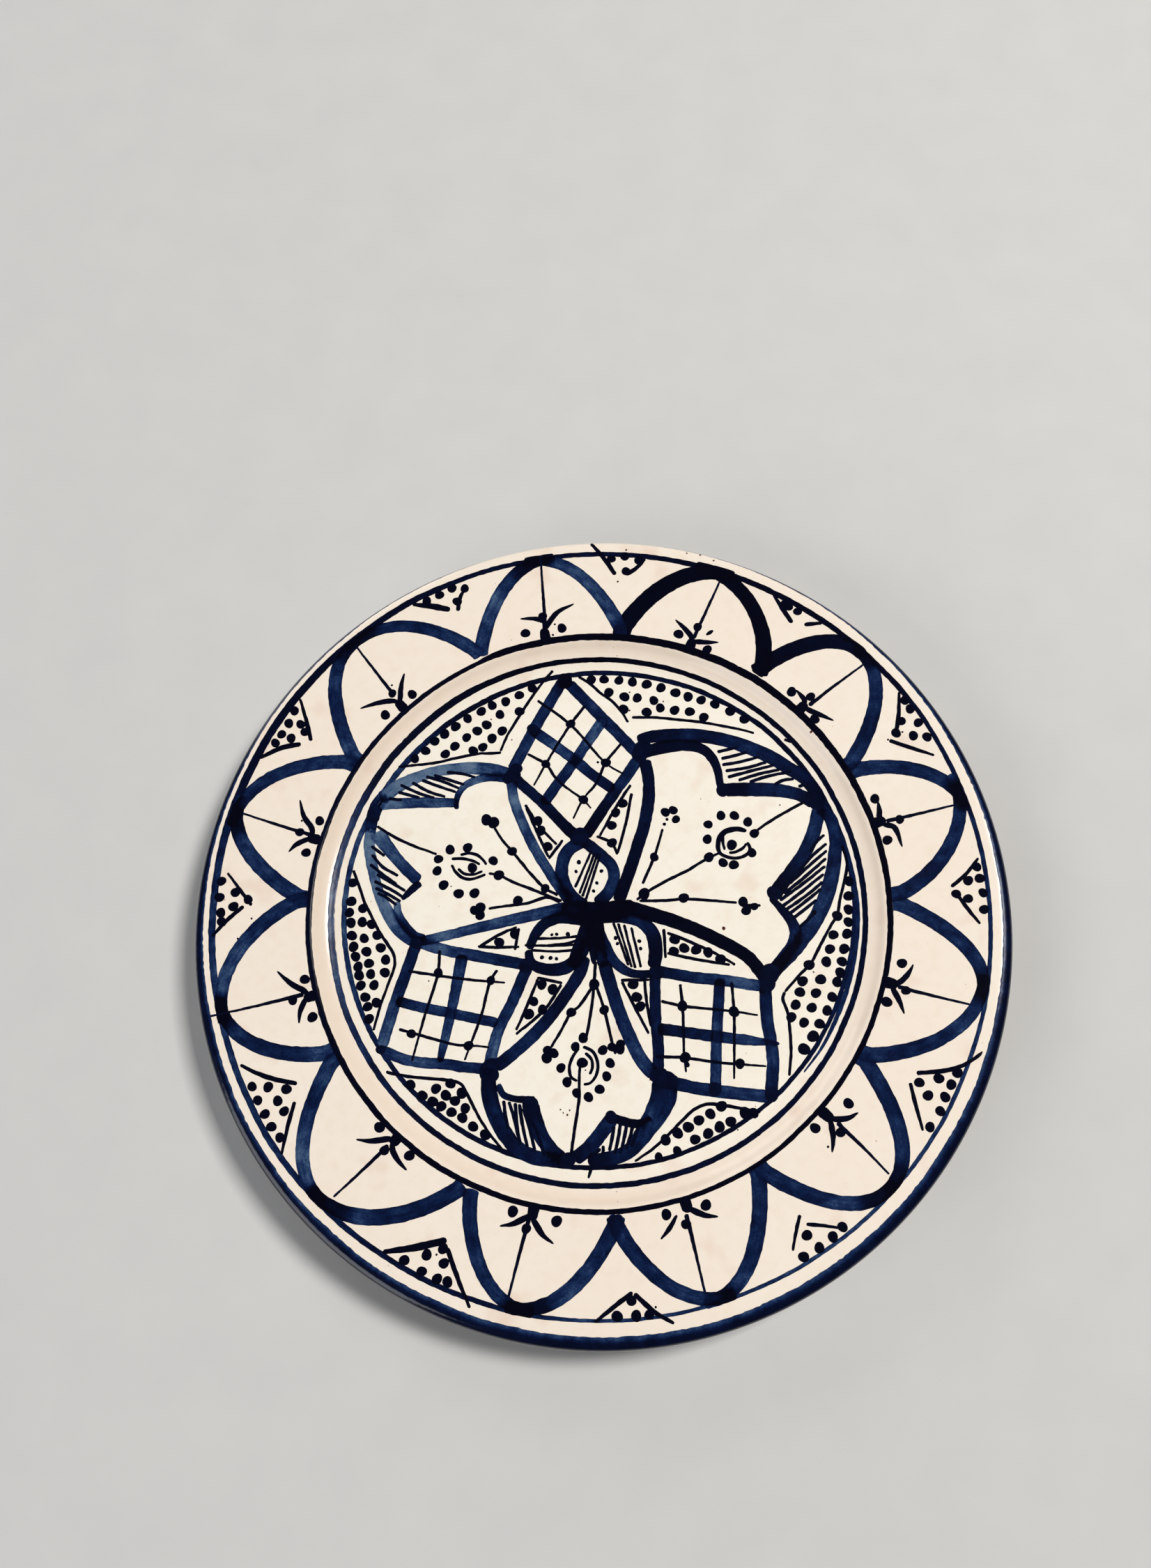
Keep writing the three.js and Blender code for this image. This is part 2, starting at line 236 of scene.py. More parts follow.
# Each stroke as (degrees of its foot, radius of its foot, degrees of its tip, fullness, boldness,
# tones from foot to tip), for the left and the right stroke, and then the degrees between which
# the tip is darkest.
RIM_PETALS = [
    ((335.0, 109.8, 351.4, 0.98, 1.0, (0.5, 0.5, 0.44, 0.62)),
     (364.8, 107.8, 349.2, 0.94, 1.0, (0.56, 0.52, 0.46, 0.5)), (346.0, 352.0)),
    ((4.7, 107.8, 20.8, 0.85, 1.24, (0.95, 0.98, 0.98, 0.95)),
     (34.4, 110.4, 17.0, 0.64, 1.12, (0.98, 0.98, 0.98, 0.95)), (17.0, 22.0)),
    ((33.5, 110.4, 45.0, 0.8, 1.14, (0.97, 0.94, 0.9, 0.86)),
     (60.3, 107.8, 46.0, 0.95, 1.04, (0.56, 0.76, 0.6, 0.55)), (44.0, 48.2)),
    ((61.7, 107.8, 74.0, 0.77, 1.0, (0.6, 0.66, 0.62, 0.66)),
     (87.7, 107.8, 70.6, 0.77, 1.0, (0.6, 0.7, 0.6, 0.54)), (70.8, 74.5)),
    ((89.1, 107.8, 102.1, 0.96, 1.0, (0.62, 0.66, 0.6, 0.48)),
     (119.0, 107.8, 101.5, 0.88, 0.97, (0.6, 0.68, 0.6, 0.44)), (100.0, 104.2)),
    ((119.7, 107.8, 133.4, 1.0, 1.0, (0.6, 0.7, 0.62, 0.5)),
     (147.8, 107.8, 134.3, 0.95, 1.0, (0.62, 0.68, 0.5, 0.62)), (130.5, 138.0)),
    ((148.5, 107.8, 163.0, 0.94, 0.96, (0.62, 0.68, 0.6, 0.44)),
     (176.1, 109.2, 161.2, 0.82, 0.95, (0.66, 0.7, 0.62, 0.58)), (160.2, 161.4)),
    ((175.4, 109.2, 190.6, 0.91, 0.96, (0.64, 0.68, 0.5, 0.4)),
     (202.6, 109.4, 189.2, 0.78, 0.92, (0.66, 0.7, 0.58, 0.44)), (186.0, 192.0)),
    ((204.5, 109.4, 223.0, 0.9, 1.02, (0.68, 0.72, 0.6, 0.5)),
     (238.9, 107.5, 222.6, 1.0, 1.0, (0.56, 0.66, 0.42, 0.5)), (218.0, 224.0)),
    ((240.4, 107.5, 254.3, 0.8, 0.98, (0.5, 0.72, 0.68, 0.6)),
     (271.0, 107.2, 253.0, 0.85, 1.04, (0.58, 0.66, 0.44, 0.5)), (251.5, 255.5)),
    ((271.0, 107.2, 285.7, 0.97, 1.05, (0.56, 0.64, 0.52, 0.44)),
     (300.3, 107.3, 283.3, 0.85, 1.0, (0.54, 0.64, 0.66, 0.6)), (281.0, 285.2)),
    ((301.4, 107.3, 316.8, 1.0, 1.0, (0.46, 0.64, 0.6, 0.5)),
     (335.0, 109.8, 318.0, 0.83, 0.96, (0.52, 0.66, 0.64, 0.5)), (314.0, 321.0)),
]
LEFT_WIDTHS = (5.9, 5.7, 5.6, 5.2, 4.1)
RIGHT_WIDTHS = (5.9, 5.6, 5.2, 4.9, 4.1)
PETAL_BASE_R = 110.0
PETAL_TOP_R = 142.0

# Sprigs that grow in the petals: base blob, stem, dot on the stem, leaves, dots beside it, specks
SPRIGS = [
    ((349, 112), [(349.3, 113), (350, 128), (350.6, 143.8)], (349.2, 118.5),
     [[(349.3, 116), (347.4, 118.2), (344.9, 119.4)], [(349.5, 113.5), (352, 119), (355.4, 122)]],
     [(352.6, 112.3), (345.2, 113)], [(351.3, 114.3), (350.6, 110)]),
    ((19.2, 111.5), [(19.3, 113), (19.8, 126), (20.2, 139)], (19.3, 118),
     [[(18.7, 113.5), (16.8, 116.2), (14.8, 118.5)], [(20, 112), (22, 113.2), (24.2, 115)],
      [(21.4, 116), (22.3, 118.8)]],
     [(16.2, 113), (22.7, 110.5)], []),
    ((45.3, 111.5), [(46, 113), (46.6, 126), (47.3, 139.5)], (45, 116),
     [[(44.5, 113.5), (43.2, 114), (42, 114.3)], [(46.3, 111.5), (48.8, 113.4), (51.4, 115.8)]],
     [(41.65, 112.6), (48.8, 110.7)], []),
    ((73, 111.5), [(73.3, 113), (73.7, 126), (74, 140)], (73.7, 118),
     [[(72.5, 111), (70.8, 112.2), (69, 112.9)], [(73.8, 112), (74.8, 115), (78.8, 115.8)]],
     [(68.5, 112.3), (76.9, 111.2)], []),
    ((104.7, 111.5), [(105, 113), (105, 126), (104.9, 138.5)], (105.3, 116),
     [[(104, 113.5), (102.3, 115.6), (100.4, 117)], [(105.5, 111.5), (107.4, 114.6), (109.4, 117.5)]],
     [(100.6, 113), (108.3, 110.5)], []),
    ((132.3, 112), [(132, 115), (132.2, 127), (132.6, 139)], (132.8, 118),
     [[(131.5, 114.5), (130, 117), (128.3, 118.5)], [(132.6, 113), (134.4, 117.4), (136.3, 120.5)]],
     [(128.1, 114), (135.4, 110.8)], [(136.1, 118.2)]),
    ((162.8, 111.2), [(163.3, 113), (163.6, 126), (163.9, 139.5)], (163.8, 116.2),
     [[(162, 112.5), (160.2, 115.4), (158.2, 117.3)], [(164.9, 112.5), (166.7, 116.2), (168.5, 119)]],
     [(159.5, 112.3), (166.7, 111.5)], []),
    ((190.7, 111.7), [(191.2, 113), (191.5, 126), (191.7, 140.5)], (191.3, 116.2),
     [[(190.3, 113), (188.4, 117), (186.3, 119.5)], [(191.3, 112), (193.5, 115.4), (195.8, 117.7)]],
     [(186.3, 112), (194.3, 111.8)], []),
    ((219.5, 110.7), [(219.9, 113), (220.4, 126), (220.9, 138.3)], (219.8, 115.2),
     [[(219.2, 112.5), (217, 114.6), (214.5, 115.5)], [(220.3, 111), (222.5, 115.8), (224.7, 119.5)]],
     [(215.7, 111), (223.3, 110.8)], []),
    ((251.7, 110.8), [(252.5, 112), (252.8, 128), (253.2, 146.5)], (252, 116.3),
     [[(251.3, 112), (249.6, 114.8), (247.6, 116.5)], [(252.6, 111), (255.2, 116), (257.8, 120)]],
     [(247.8, 111.2), (255.2, 110.5)], []),
    ((283.2, 111.3), [(283.8, 112), (284.1, 126), (284.4, 140)], (283.8, 116.3),
     [[(282.7, 113), (281.3, 116.3), (279.7, 118.3)], [(284.9, 112), (287, 117), (289.6, 120.8)]],
     [(280.2, 111.7), (287, 110.5)], [(286, 117)]),
    ((315.8, 111.2), [(316.2, 115), (316.7, 128), (317.2, 141.5)], (316.2, 116.3),
     [[(315.4, 113.5), (312.8, 117.6), (309.9, 121)], [(316.3, 112), (318.5, 116.4), (320.5, 119.7)]],
     [(312.2, 111.8), (319, 110.8)], [(317.2, 119)]),
]

# Marks between the petals: two lines as (boldness, points), dots, specks
SPANDRELS = [
    ([(1.3, [(358.7, 147), (0.7, 141), (2.8, 133.8)]), (1.2, [(7.5, 141.5), (6.3, 137.4), (4.6, 134)])],
     [(2, 140.5), (4.2, 141.7), (6.5, 140.5), (4.6, 135.5)], [(4.3, 144.5), (3.3, 131)]),
    ([(1.3, [(29, 142), (31.4, 138.6), (34, 135.5)]), (1.1, [(38, 142), (36.8, 139.6), (35.8, 137.5)])],
     [(31.3, 140.8), (32, 140.5), (33.7, 140.7)], []),
    ([(1.1, [(54.2, 142.3), (57.3, 136.4), (59.9, 131)]),
      (1.1, [(65.6, 139.7), (62.8, 133.4), (60, 128)])],
     [(55.8, 142), (57.4, 141.5), (59.9, 141), (62.5, 140.8), (58.3, 136), (61.3, 136.7),
      (59.5, 131.8)], [(59.9, 134), (59.8, 127.8)]),
    ([(1.0, [(82.7, 141.8), (85, 136.2), (86.8, 130.5)]),
      (1.0, [(92.7, 139.7), (90.4, 135.6), (88.2, 132.5)])],
     [(84, 140.5), (85.8, 141), (88, 141.5), (90.5, 141.3), (86, 136.8), (88.8, 136), (88, 132)], []),
    ([(1.1, [(110.8, 147), (113.6, 142), (115.4, 137), (117.7, 128.5)]),
      (1.0, [(124.7, 139.5), (122.2, 133.4), (119.5, 128)])],
     [(115, 141), (116.9, 140.6), (118.9, 140.5), (121, 141.2), (123.7, 140.8), (116.9, 136),
      (119.9, 135.2), (118.8, 130.7)], []),
    ([(0.85, [(143, 140), (144.8, 136), (146.5, 133)]),
      (0.85, [(150.2, 137.8), (148.4, 133.2), (146.5, 129.3)])],
     [(142.5, 140.6), (144.4, 141.2), (146.8, 141.5), (149.3, 141.2), (147.3, 136)], []),
    ([(1.15, [(168.9, 146), (171, 142), (173.8, 135)]),
      (1.1, [(179.5, 143.5), (176.6, 138.4), (174, 134.5)])],
     [(172, 142), (173.8, 142), (176.4, 141.7), (174.3, 137)], [(171, 140)]),
    ([(1.1, [(196.4, 145.7), (199.4, 138), (202.5, 130.5)]),
      (1.7, [(210.5, 142), (206.8, 135.2), (203, 128.3)])],
     [(200.5, 140.5), (202, 141), (204.4, 141), (207.3, 140.5), (202, 135.5), (204.8, 135.5),
      (203, 131.3)], [(203.5, 134)]),
    ([(1.0, [(230.5, 142.5), (233.3, 135.6), (236, 129)]),
      (1.2, [(245, 140.8), (243.2, 137.3), (240.8, 131.9), (238.3, 125.3)])],
     [(232.7, 139.7), (234.7, 140.2), (236.8, 140), (239.1, 140), (241.3, 139.8), (235.6, 133.8),
      (237.5, 134), (240.1, 134.8), (238.4, 129.5)], []),
    ([(1.1, [(264.8, 143), (267.2, 137.5), (269.5, 131.7)]),
      (0.9, [(274.7, 139.3), (272.2, 133.8), (269.6, 128.8)])],
     [(267, 139.5), (268.4, 140), (270.8, 141), (273.3, 141), (269.4, 135.5), (271.7, 135.2),
      (270.6, 130.3)], [(264.2, 133.5), (267.4, 128.5)]),
    ([(1.4, [(293.5, 142.3), (296.5, 136.8), (298.7, 131)]),
      (1.1, [(304.9, 142), (302.6, 134.8), (300, 128.3)])],
     [(296.8, 139.8), (298.5, 139.5), (300.6, 139.6), (302.8, 140.8), (298.7, 135.5), (301.5, 135.5),
      (300.8, 132.3)], []),
    ([(1.7, [(328.5, 142), (331.2, 137.3), (333.6, 132.8)]),
      (1.2, [(337.2, 138.6), (335.8, 135.2), (334.7, 131)])],
     [(330.8, 140.3), (333.1, 140.3), (335.4, 140.7), (337.3, 138.7), (335.3, 134.8)], []),
]

# Motifs of the well ------------------------------------------------------------------------------

CHECK_PANELS = {
    "check_panel_a": [
        (4.6, (0.85, 0.66, 0.6, 0.7), [(-14, 91.6), (-19.2, 82), (-23.8, 73.5), (-33.1, 54.2)]),
        (4.6, (0.8, 0.62, 0.68, 0.66), [(-12, 90.5), (0.6, 77), (6.7, 70.6), (13.5, 63.2), (16.6, 60)]),
        ((4.2, 4.2, 4.4, 4.8), (0.92, 0.74, 0.9, 0.96),
         [(-33.2, 53.2), (-32, 51.4), (-20.6, 40.8), (-11.3, 31.1), (-6.2, 26.4)]),
        (4.5, (0.97, 0.9, 0.72, 0.62),
         [(-4.6, 27.8), (1.2, 37.1), (7.3, 46.4), (11.2, 52), (16.5, 60.2)]),
        (4.3, (0.82, 0.48, 0.5, 0.78, 0.8),
         [(-26.4, 71.4), (-17.1, 64.7), (-8.7, 58.3), (-1.9, 52.5), (6.2, 46.6)]),
        (4.3, (0.42, 0.44, 0.62, 0.68, 0.72),
         [(2.4, 75.6), (-4.1, 65.7), (-9.4, 57.3), (-15.6, 48.4), (-20.6, 40.8)]),
        (6.4, (0.97, 0.97), [(-16, 91.4), (-10.4, 91.2)]),
    ],
    "check_panel_b": [
        (4.4, (0.5, 0.44, 0.62, 0.72, 0.74),
         [(-67.4, -12.7), (-57.6, -15.7), (-40.9, -18.7), (-25, -21.5)]),
        (4.5, (0.76, 0.7, 0.7, 0.44, 0.36), [(-67, -13), (-69.7, -22.3), (-73.5, -34.4), (-78, -51.8)]),
        (4.0, (0.76, 0.44, 0.5, 0.66, 0.68),
         [(-78.2, -52.8), (-71, -55.8), (-63.6, -57.3), (-54.5, -57.8), (-47, -58.8), (-37, -59.5)]),
        (4.3, (0.74, 0.7, 0.64, 0.6, 0.4, 0.5),
         [(-24.8, -21.8), (-26.4, -25), (-30.3, -34.8), (-35.2, -45.3), (-38.5, -59)]),
        (3.8, (0.84, 0.46, 0.66, 0.68, 0.66),
         [(-73.6, -34.9), (-66, -36.9), (-54.5, -39.1), (-35.6, -42.8)]),
        ((4.8, 4.3, 3.8, 3.5, 2.5), (0.72, 0.5, 0.6, 0.5, 0.52, 0.8),
         [(-49.6, -17.8), (-53, -39), (-56.4, -57.2)]),
    ],
    "check_panel_c": [
        (4.3, (0.88, 0.74, 0.64, 0.6, 0.44, 0.6),
         [(22.3, -23.2), (36, -25.5), (45, -26.3), (62.5, -28.7)]),
        (4.2, (0.9, 0.76, 0.78, 0.86), [(21.9, -23.8), (22.2, -40), (23.2, -52.6), (23, -60.2)]),
        (4.6, (0.92, 0.7, 0.66, 0.5, 0.56), [(22.3, -61.8), (33, -64.6), (45, -66.3), (63.2, -68)]),
        (4.6, (0.88, 0.72, 0.66, 0.5, 0.66, 0.84),
         [(62.3, -28.4), (62.6, -40), (64.4, -55), (63.4, -66.6)]),
        ((4.3, 4.2, 4.2, 3.8, 1.2), (0.9, 0.74, 0.68, 0.5, 0.64),
         [(23, -44.3), (44.3, -46.9), (66.9, -49.3)]),
        (4.1, (0.86, 0.68, 0.6, 0.46, 0.5, 0.7), [(45.8, -26), (44.4, -45), (43.5, -67)]),
    ],
}

# Dark blobs where the brush strokes of a motif meet, as (x, y, radius)
JOINTS = {
    "check_panel_a": [
        (-33, 52.2, 3.2), (-31.6, 55, 2.4), (16.2, 60.6, 3.4), (-6.6, 27.6, 3.6), (-25.4, 71.2, 2.3),
    ],
    "check_panel_b": [
        (-67.4, -13.4, 2.3), (-38.6, -59.8, 3.4), (-78.2, -52.9, 1.9), (-25.8, -21.8, 2.8),
    ],
    "check_panel_c": [
        (22.6, -23.8, 2.7), (63, -27.6, 3.2), (23.6, -61.4, 3.2), (63.6, -67.2, 2.6),
        (43.4, -65.6, 2.6),
    ],
    "tulip_a": [(-34.6, 51, 2.4), (-86.4, 35.4, 2.5)],
    "tulip_b": [
        (17.4, 62.6, 4.1), (83.4, 41.6, 3.4), (80.6, 43, 2.4), (64, -24, 4), (66.6, 6.2, 3),
        (48.3, 46.4, 2.9),
    ],
    "tulip_c": [
        (-38.2, -61, 3.6), (-37.4, -57.8, 2.6), (25.6, -62.6, 3.8), (22, -61.2, 2.4), (28, -63.4, 2.8),
        (-9, -90.8, 3), (-22.8, -71.6, 2.8), (6.2, -76, 2.4),
    ],
}

PANEL_GRIDS = {
    "check_panel_a": (
        [
            [(-23.9, 83.2), (-10.5, 72.8), (3.4, 57), (10.2, 52.7)],
            [(-5.2, 81), (-10.5, 73.5), (-14.8, 66.5), (-20, 57), (-24.6, 48.1)],
            [(9, 65.2), (3.2, 57.5), (-0.4, 49.2), (-5.5, 42.5), (-9.1, 34.8)],
            [(-27.3, 61), (-20, 56.7), (-16.3, 51.5), (-12.9, 48.1), (-5.4, 42.5), (-2.3, 39)],
        ],
        [(-10.7, 73.4, 1.9), (-20.1, 56.9, 1.8), (3.2, 57.4, 2), (-5.3, 42.5, 1.9), (0.1, 57.6, 0.5)],
    ),
    "check_panel_b": (
        [
            [(-58.3, -16), (-58.5, -24.6), (-62.9, -41.2), (-66.6, -57)],
            [(-36.4, -23.3), (-38.7, -27), (-41.7, -39.7), (-47.3, -56.4)],
            [(-69.7, -24), (-48.5, -26.8), (-33.3, -28)],
            [(-72, -45.4), (-57.6, -49.2), (-51.5, -50.7), (-42.4, -51.2), (-38.3, -51.7)],
        ],
        [(-58.4, -24.6, 1.8), (-38.7, -27.2, 1.7), (-67.3, -47, 1.7), (-46.1, -51.1, 1.9)],
    ),
    "check_panel_c": (
        [
            [(31.2, -28), (32, -36), (32.5, -54), (33.1, -59.8)],
            [(50, -27.2), (50.7, -37.8), (50.3, -62)],
            [(24.2, -34.3), (32, -36), (50.7, -37.8), (59.4, -39.1)],
            [(22.3, -54.3), (32.5, -54.6), (43.5, -56), (62, -57.3)],
        ],
        [(32, -36, 2), (50.7, -37.9, 2), (32.8, -54.5, 2.1), (33.5, -57, 1), (52.5, -56.5, 1.9)],
    ),
}

BUDS = {
    "bud_a": [
        (5, (0.7, 0.66, 0.7, 0.9),
         [(-4.5, 26.4), (-10.9, 22.3), (-13, 16.7), (-12.5, 10.6), (-9.1, 4.5), (-3.8, 0.8)]),
        ((4.4, 4.4, 4.6, 5), (0.9, 0.8, 0.62, 0.66, 0.9),
         [(-5.5, 26.4), (-2.1, 23.8), (1.8, 20.5), (5.3, 17.1), (6.7, 12.9), (4.9, 6.8), (0.3, 1.5)]),
    ],
    "bud_b": [
        ((5.6, 5, 4.4, 4, 3), (0.95, 0.9, 0.84, 0.88),
         [(-3.8, -4.1), (-12.9, -3.4), (-19.3, -6), (-22.8, -10.4), (-24.9, -15.5)]),
        ((3, 4.2, 4.9, 5, 4.8), (0.9, 0.88, 0.8, 0.9),
         [(-25.2, -15.7), (-23.5, -20.9), (-16.7, -23.1), (-10.4, -21.9), (-6.1, -17.8), (-3, -11.7)]),
    ],
    "bud_c": [
        ((5, 4.8, 5, 5.4, 4.8), (0.95, 0.8, 0.7, 0.92, 0.95),
         [(-0.4, -3.4), (9.4, -3), (17, -4.9), (21.2, -9.6), (22.3, -16.2), (21.5, -22.3)]),
        ((2.9, 3.2, 4, 4.6, 4.6), (0.92, 0.8, 0.7, 0.74, 0.9),
         [(20.8, -24.4), (13.2, -24.1), (7.4, -20.3), (3.4, -14), (0.3, -7.2)]),
    ],
}
BUD_STRIPES = {
    "bud_a": (
        [[(-1.8, 22.5), (-8, 8)], [(-0.6, 21.8), (-6.3, 5.6)], [(0.5, 21.5), (-5.2, 4.5)],
         [(1.4, 21), (-3.8, 3.4)]],
        [(-6.7, 17.8, 0.9), (-7.7, 14.2, 0.7), (1.9, 14.4, 0.8), (0.2, 9.8, 0.7), (-1, 6.7, 0.7)],
    ),
    "bud_b": (
        [[(-22, -11.5), (-13, -11.2), (-4.5, -10.3)], [(-26.5, -14), (-16, -14.1), (-5.3, -13.6)],
         [(-18, -14), (-11, -13.2), (-5.3, -11.5)], [(-24.2, -15.9), (-14, -16.2), (-7, -15.5)]],
        [(-16.4, -10, 0.6), (-14.6, -9.8, 0.7), (-10.4, -9.8, 0.9), (-19.9, -18.5, 0.8),
         (-16.7, -18.7, 0.8), (-14.5, -19, 0.7)],
    ),
    "bud_c": (
        [[(6.5, -5.2), (12.2, -21.3)], [(8.3, -5.5), (13.4, -22)], [(10.5, -6), (14.8, -22.3)],
         [(13.2, -7), (16.8, -22)]],
        [(7.4, -11.1, 0.8), (8.1, -13.2, 0.7), (16.2, -12.2, 0.8), (16.7, -15, 0.7)],
    ),
}
CENTRE_KNOT = [
    ((5.8, 7.8, 8.2, 7.8, 5.8), (0.9, 0.97, 0.97, 0.97), [(-13, 1), (-5, -1.2), (3, -1.4), (15, 0.8)]),
    ((7, 6.4, 5, 3.2, 1.5), (0.97, 0.95, 0.9), [(-0.6, -1), (-0.9, -11), (-0.6, -21)]),
    ((5, 5, 4), (0.95, 0.9, 0.84), [(-2, -3), (-5.5, -13), (-9, -22)]),
    ((5, 4.4, 4.0), (0.95, 0.86, 0.8), [(0.4, -4), (1.4, -13), (3, -22)]),
]

TULIPS = {
    "tulip_a": [
        ((4.6, 5.2, 5.2, 4.6, 4.4, 4.7, 5.4, 5.4), (0.62, 0.5, 0.2, 0.14, 0.12, 0.16, 0.24, 0.4),
         [(-32.6, 52.6), (-42, 54.7), (-52, 55.2), (-61.9, 54.1), (-70.4, 51.4), (-77.4, 47.8),
          (-84, 42.6)]),
        ((4.6, 5.4, 5, 4.4), (0.4, 0.76, 0.86, 0.6),
         [(-82.4, 44.6), (-85.3, 39.5), (-86.7, 34.5), (-87.4, 29)]),
        ((3.0, 3.2, 3.2, 2.6, 1.8), (0.72, 0.56, 0.3, 0.6, 0.8),
         [(-33.3, 50.4), (-39.4, 51.4), (-44, 51.2), (-48.7, 49.7), (-52.3, 47), (-54.2, 43),
          (-54.2, 38.6)]),
        ((3.6, 4.3, 4.4, 4.4), (0.62, 0.5, 0.44, 0.3, 0.22),
         [(-53.6, 41.2), (-62, 41.3), (-69.7, 41.3), (-77.3, 40.9), (-85, 40.4)]),
        ((4.2, 4.4, 4.3, 4.1, 4.2, 5.2, 5.2, 5), (0.2, 0.12, 0.3, 0.34, 0.3, 0.24, 0.3, 0.5, 0.66),
         [(-86.9, 31), (-87.3, 24.2), (-86.1, 18.2), (-84.5, 12.1), (-82.6, 6), (-79.3, -0.8),
          (-73.5, -8.7), (-67.4, -13.2)]),
        ((6.6, 5.4, 4.6, 4.6, 4.8), (0.16, 0.4, 0.56, 0.6, 0.66),
         [(-84.8, 29.4), (-78.7, 21.7), (-73.2, 15.7), (-67.4, 10.2)]),
        ((3, 2.8, 1.6), (0.86, 0.9, 0.8), [(-66.8, 9.8), (-70, 6.9), (-73.6, 3.2)]),
        ((2.4, 3.4, 3.6, 3.4), (0.3, 0.5, 0.62, 0.72),
         [(-75.5, 2.4), (-74.6, -2.6), (-71.9, -6.8), (-68, -10.6), (-64, -12)]),
        ((3.8, 3.8, 4.2, 4.6, 4.6), (0.66, 0.34, 0.46, 0.46, 0.5, 0.5, 0.74),
         [(-66.4, -13), (-57.6, -10.9), (-47, -8.2), (-35.5, -5.4), (-24, -2.7), (-10.9, 0.4)]),
        (4, (0.62, 0.3, 0.5, 0.52, 0.36, 0.5, 0.6, 0.84),
         [(-33.4, 50), (-32.1, 42.6), (-29.7, 35.9), (-25.9, 27.5), (-21.8, 20.1), (-17.1, 12.7),
          (-13.6, 7.5), (-9.6, 2.4)]),
    ],
    "tulip_b": [
        ((5, 5.4, 5.6, 5.6, 5.4, 5), (0.9, 0.86, 0.78, 0.84, 0.7, 0.7, 0.74, 0.85, 0.95),
         [(15.7, 65.8), (18.5, 67.4), (26, 68.5), (34.4, 68.7), (43.4, 67.8), (52.4, 65.6),
          (59.9, 62.8), (67.3, 59.2), (73.1, 55.3), (79, 51.3), (82.9, 46.2), (85.2, 40.9)]),
        ((5.4, 5, 4.6, 4, 3.2, 2.8), (0.95, 0.9, 0.9, 0.92, 0.86),
         [(17, 61.6), (26, 63.6), (34.4, 64.4), (40.5, 62.9), (44.3, 59), (46.2, 54.5), (47, 49.2),
          (47.9, 45.6)]),
        ((5.4, 5.6, 5.6, 5.2, 5), (0.95, 0.88, 0.72, 0.68, 0.8, 0.95),
         [(48.6, 46.4), (56.4, 46.6), (66.2, 46.4), (74, 45.4), (79.2, 43.4), (82.9, 40.7)]),
        ((4.8, 4.8, 5, 5.8, 6, 5.8, 5.2, 5), (0.86, 0.66, 0.7, 0.66, 0.6, 0.56, 0.66, 0.7, 0.92),
         [(84, 40), (87.8, 36.3), (89.6, 31), (90.1, 25.8), (89.4, 19.7), (88.3, 13.6), (86.3, 6.9),
          (83.6, 0.2), (81.2, -4), (77.6, -9.4), (72.3, -16.2), (67.8, -20.8), (63.2, -26)]),
        (5.3, (0.6, 0.66, 0.68, 0.78, 0.92, 0.97),
         [(84.4, 39.4), (83.1, 33.6), (81, 27.3), (77.4, 20.3), (73, 14.1), (68.4, 8.4), (66.4, 4.8)]),
        ((2.2, 3.6, 4.8, 5, 5), (0.97, 0.84, 0.7, 0.74, 0.95),
         [(65, 4.6), (70.2, -1.2), (73.4, -6), (73.8, -11), (70, -17.4), (64, -24.5)]),
        (4.8, (0.9, 0.84, 0.84, 0.92, 0.96),
         [(18.1, 58.6), (19.4, 53), (19.9, 47), (19.3, 39.4), (17.8, 31.8), (15.5, 24.2), (13.2, 16.7),
          (10.6, 9.1), (8.3, 2.3)]),
        ((6.4, 5.4, 5.2, 5, 4.9, 4.7), 0.97,
         [(9.6, 0.8), (21.8, -2.4), (30.9, -5.3), (40.7, -9.3), (49.1, -13.5), (55.9, -17.6),
          (60.1, -22.4), (62.7, -26)]),
    ],
    "tulip_c": [
        (4.7, (0.84, 0.78, 0.84, 0.72, 0.66, 0.9),
         [(-3.8, -18), (-5.7, -24), (-8.5, -28.8), (-13.6, -36.5), (-19.7, -44.2), (-26.6, -51.1),
          (-32.7, -56.2), (-36.2, -58.8)]),
        ((5.2, 6, 5.8, 5.5, 5.2, 4.8), (0.97, 0.84, 0.76, 0.84, 0.7, 0.76, 0.95),
         [(-38.4, -59.8), (-37.9, -67.8), (-35.6, -75.3), (-32.2, -81.4), (-27.6, -86.6),
          (-21.2, -89.9), (-9, -91.2)]),
        ((2.2, 2.4, 2.4, 2.6), (0.6, 0.9, 0.97),
         [(-34.8, -64.7), (-32.6, -68.5), (-28, -69.9), (-21.2, -70)]),
        ((6.6, 6.2, 5.6, 5, 4.8), (0.97, 0.84, 0.72, 0.78, 0.95),
         [(-22.9, -71.2), (-22.2, -74.7), (-20.3, -79.4), (-17.7, -84.2), (-14, -88.3),
          (-10.4, -90.8)]),
        (5, (0.84, 0.72, 0.68, 0.62, 0.5, 0.72),
         [(3, -20), (4.8, -25.7), (7.1, -33.2), (10.1, -41.5), (13.5, -49.1), (17.4, -56.1),
          (21.9, -61)]),
        ((9, 9.6, 8.4, 7.2, 5.6, 5.2, 5, 4.6), (0.97, 0.7, 0.58, 0.72, 0.66, 0.84, 0.95),
         [(25, -61.8), (25.2, -67.6), (22.7, -73.6), (18.8, -79.8), (14.1, -86.1), (8.6, -89.3),
          (-2, -91.2)]),
        ((2.4, 3, 3.2, 2.8), (0.9, 0.97, 0.9),
         [(20.6, -75.8), (16.2, -77.9), (10.7, -77.2), (5.6, -75.4)]),
        (5.3, (0.74, 0.7, 0.78, 0.76, 0.95),
         [(6.8, -75.8), (4.3, -79.2), (1.4, -83), (-2.2, -87), (-7, -90.6)]),
    ],
}

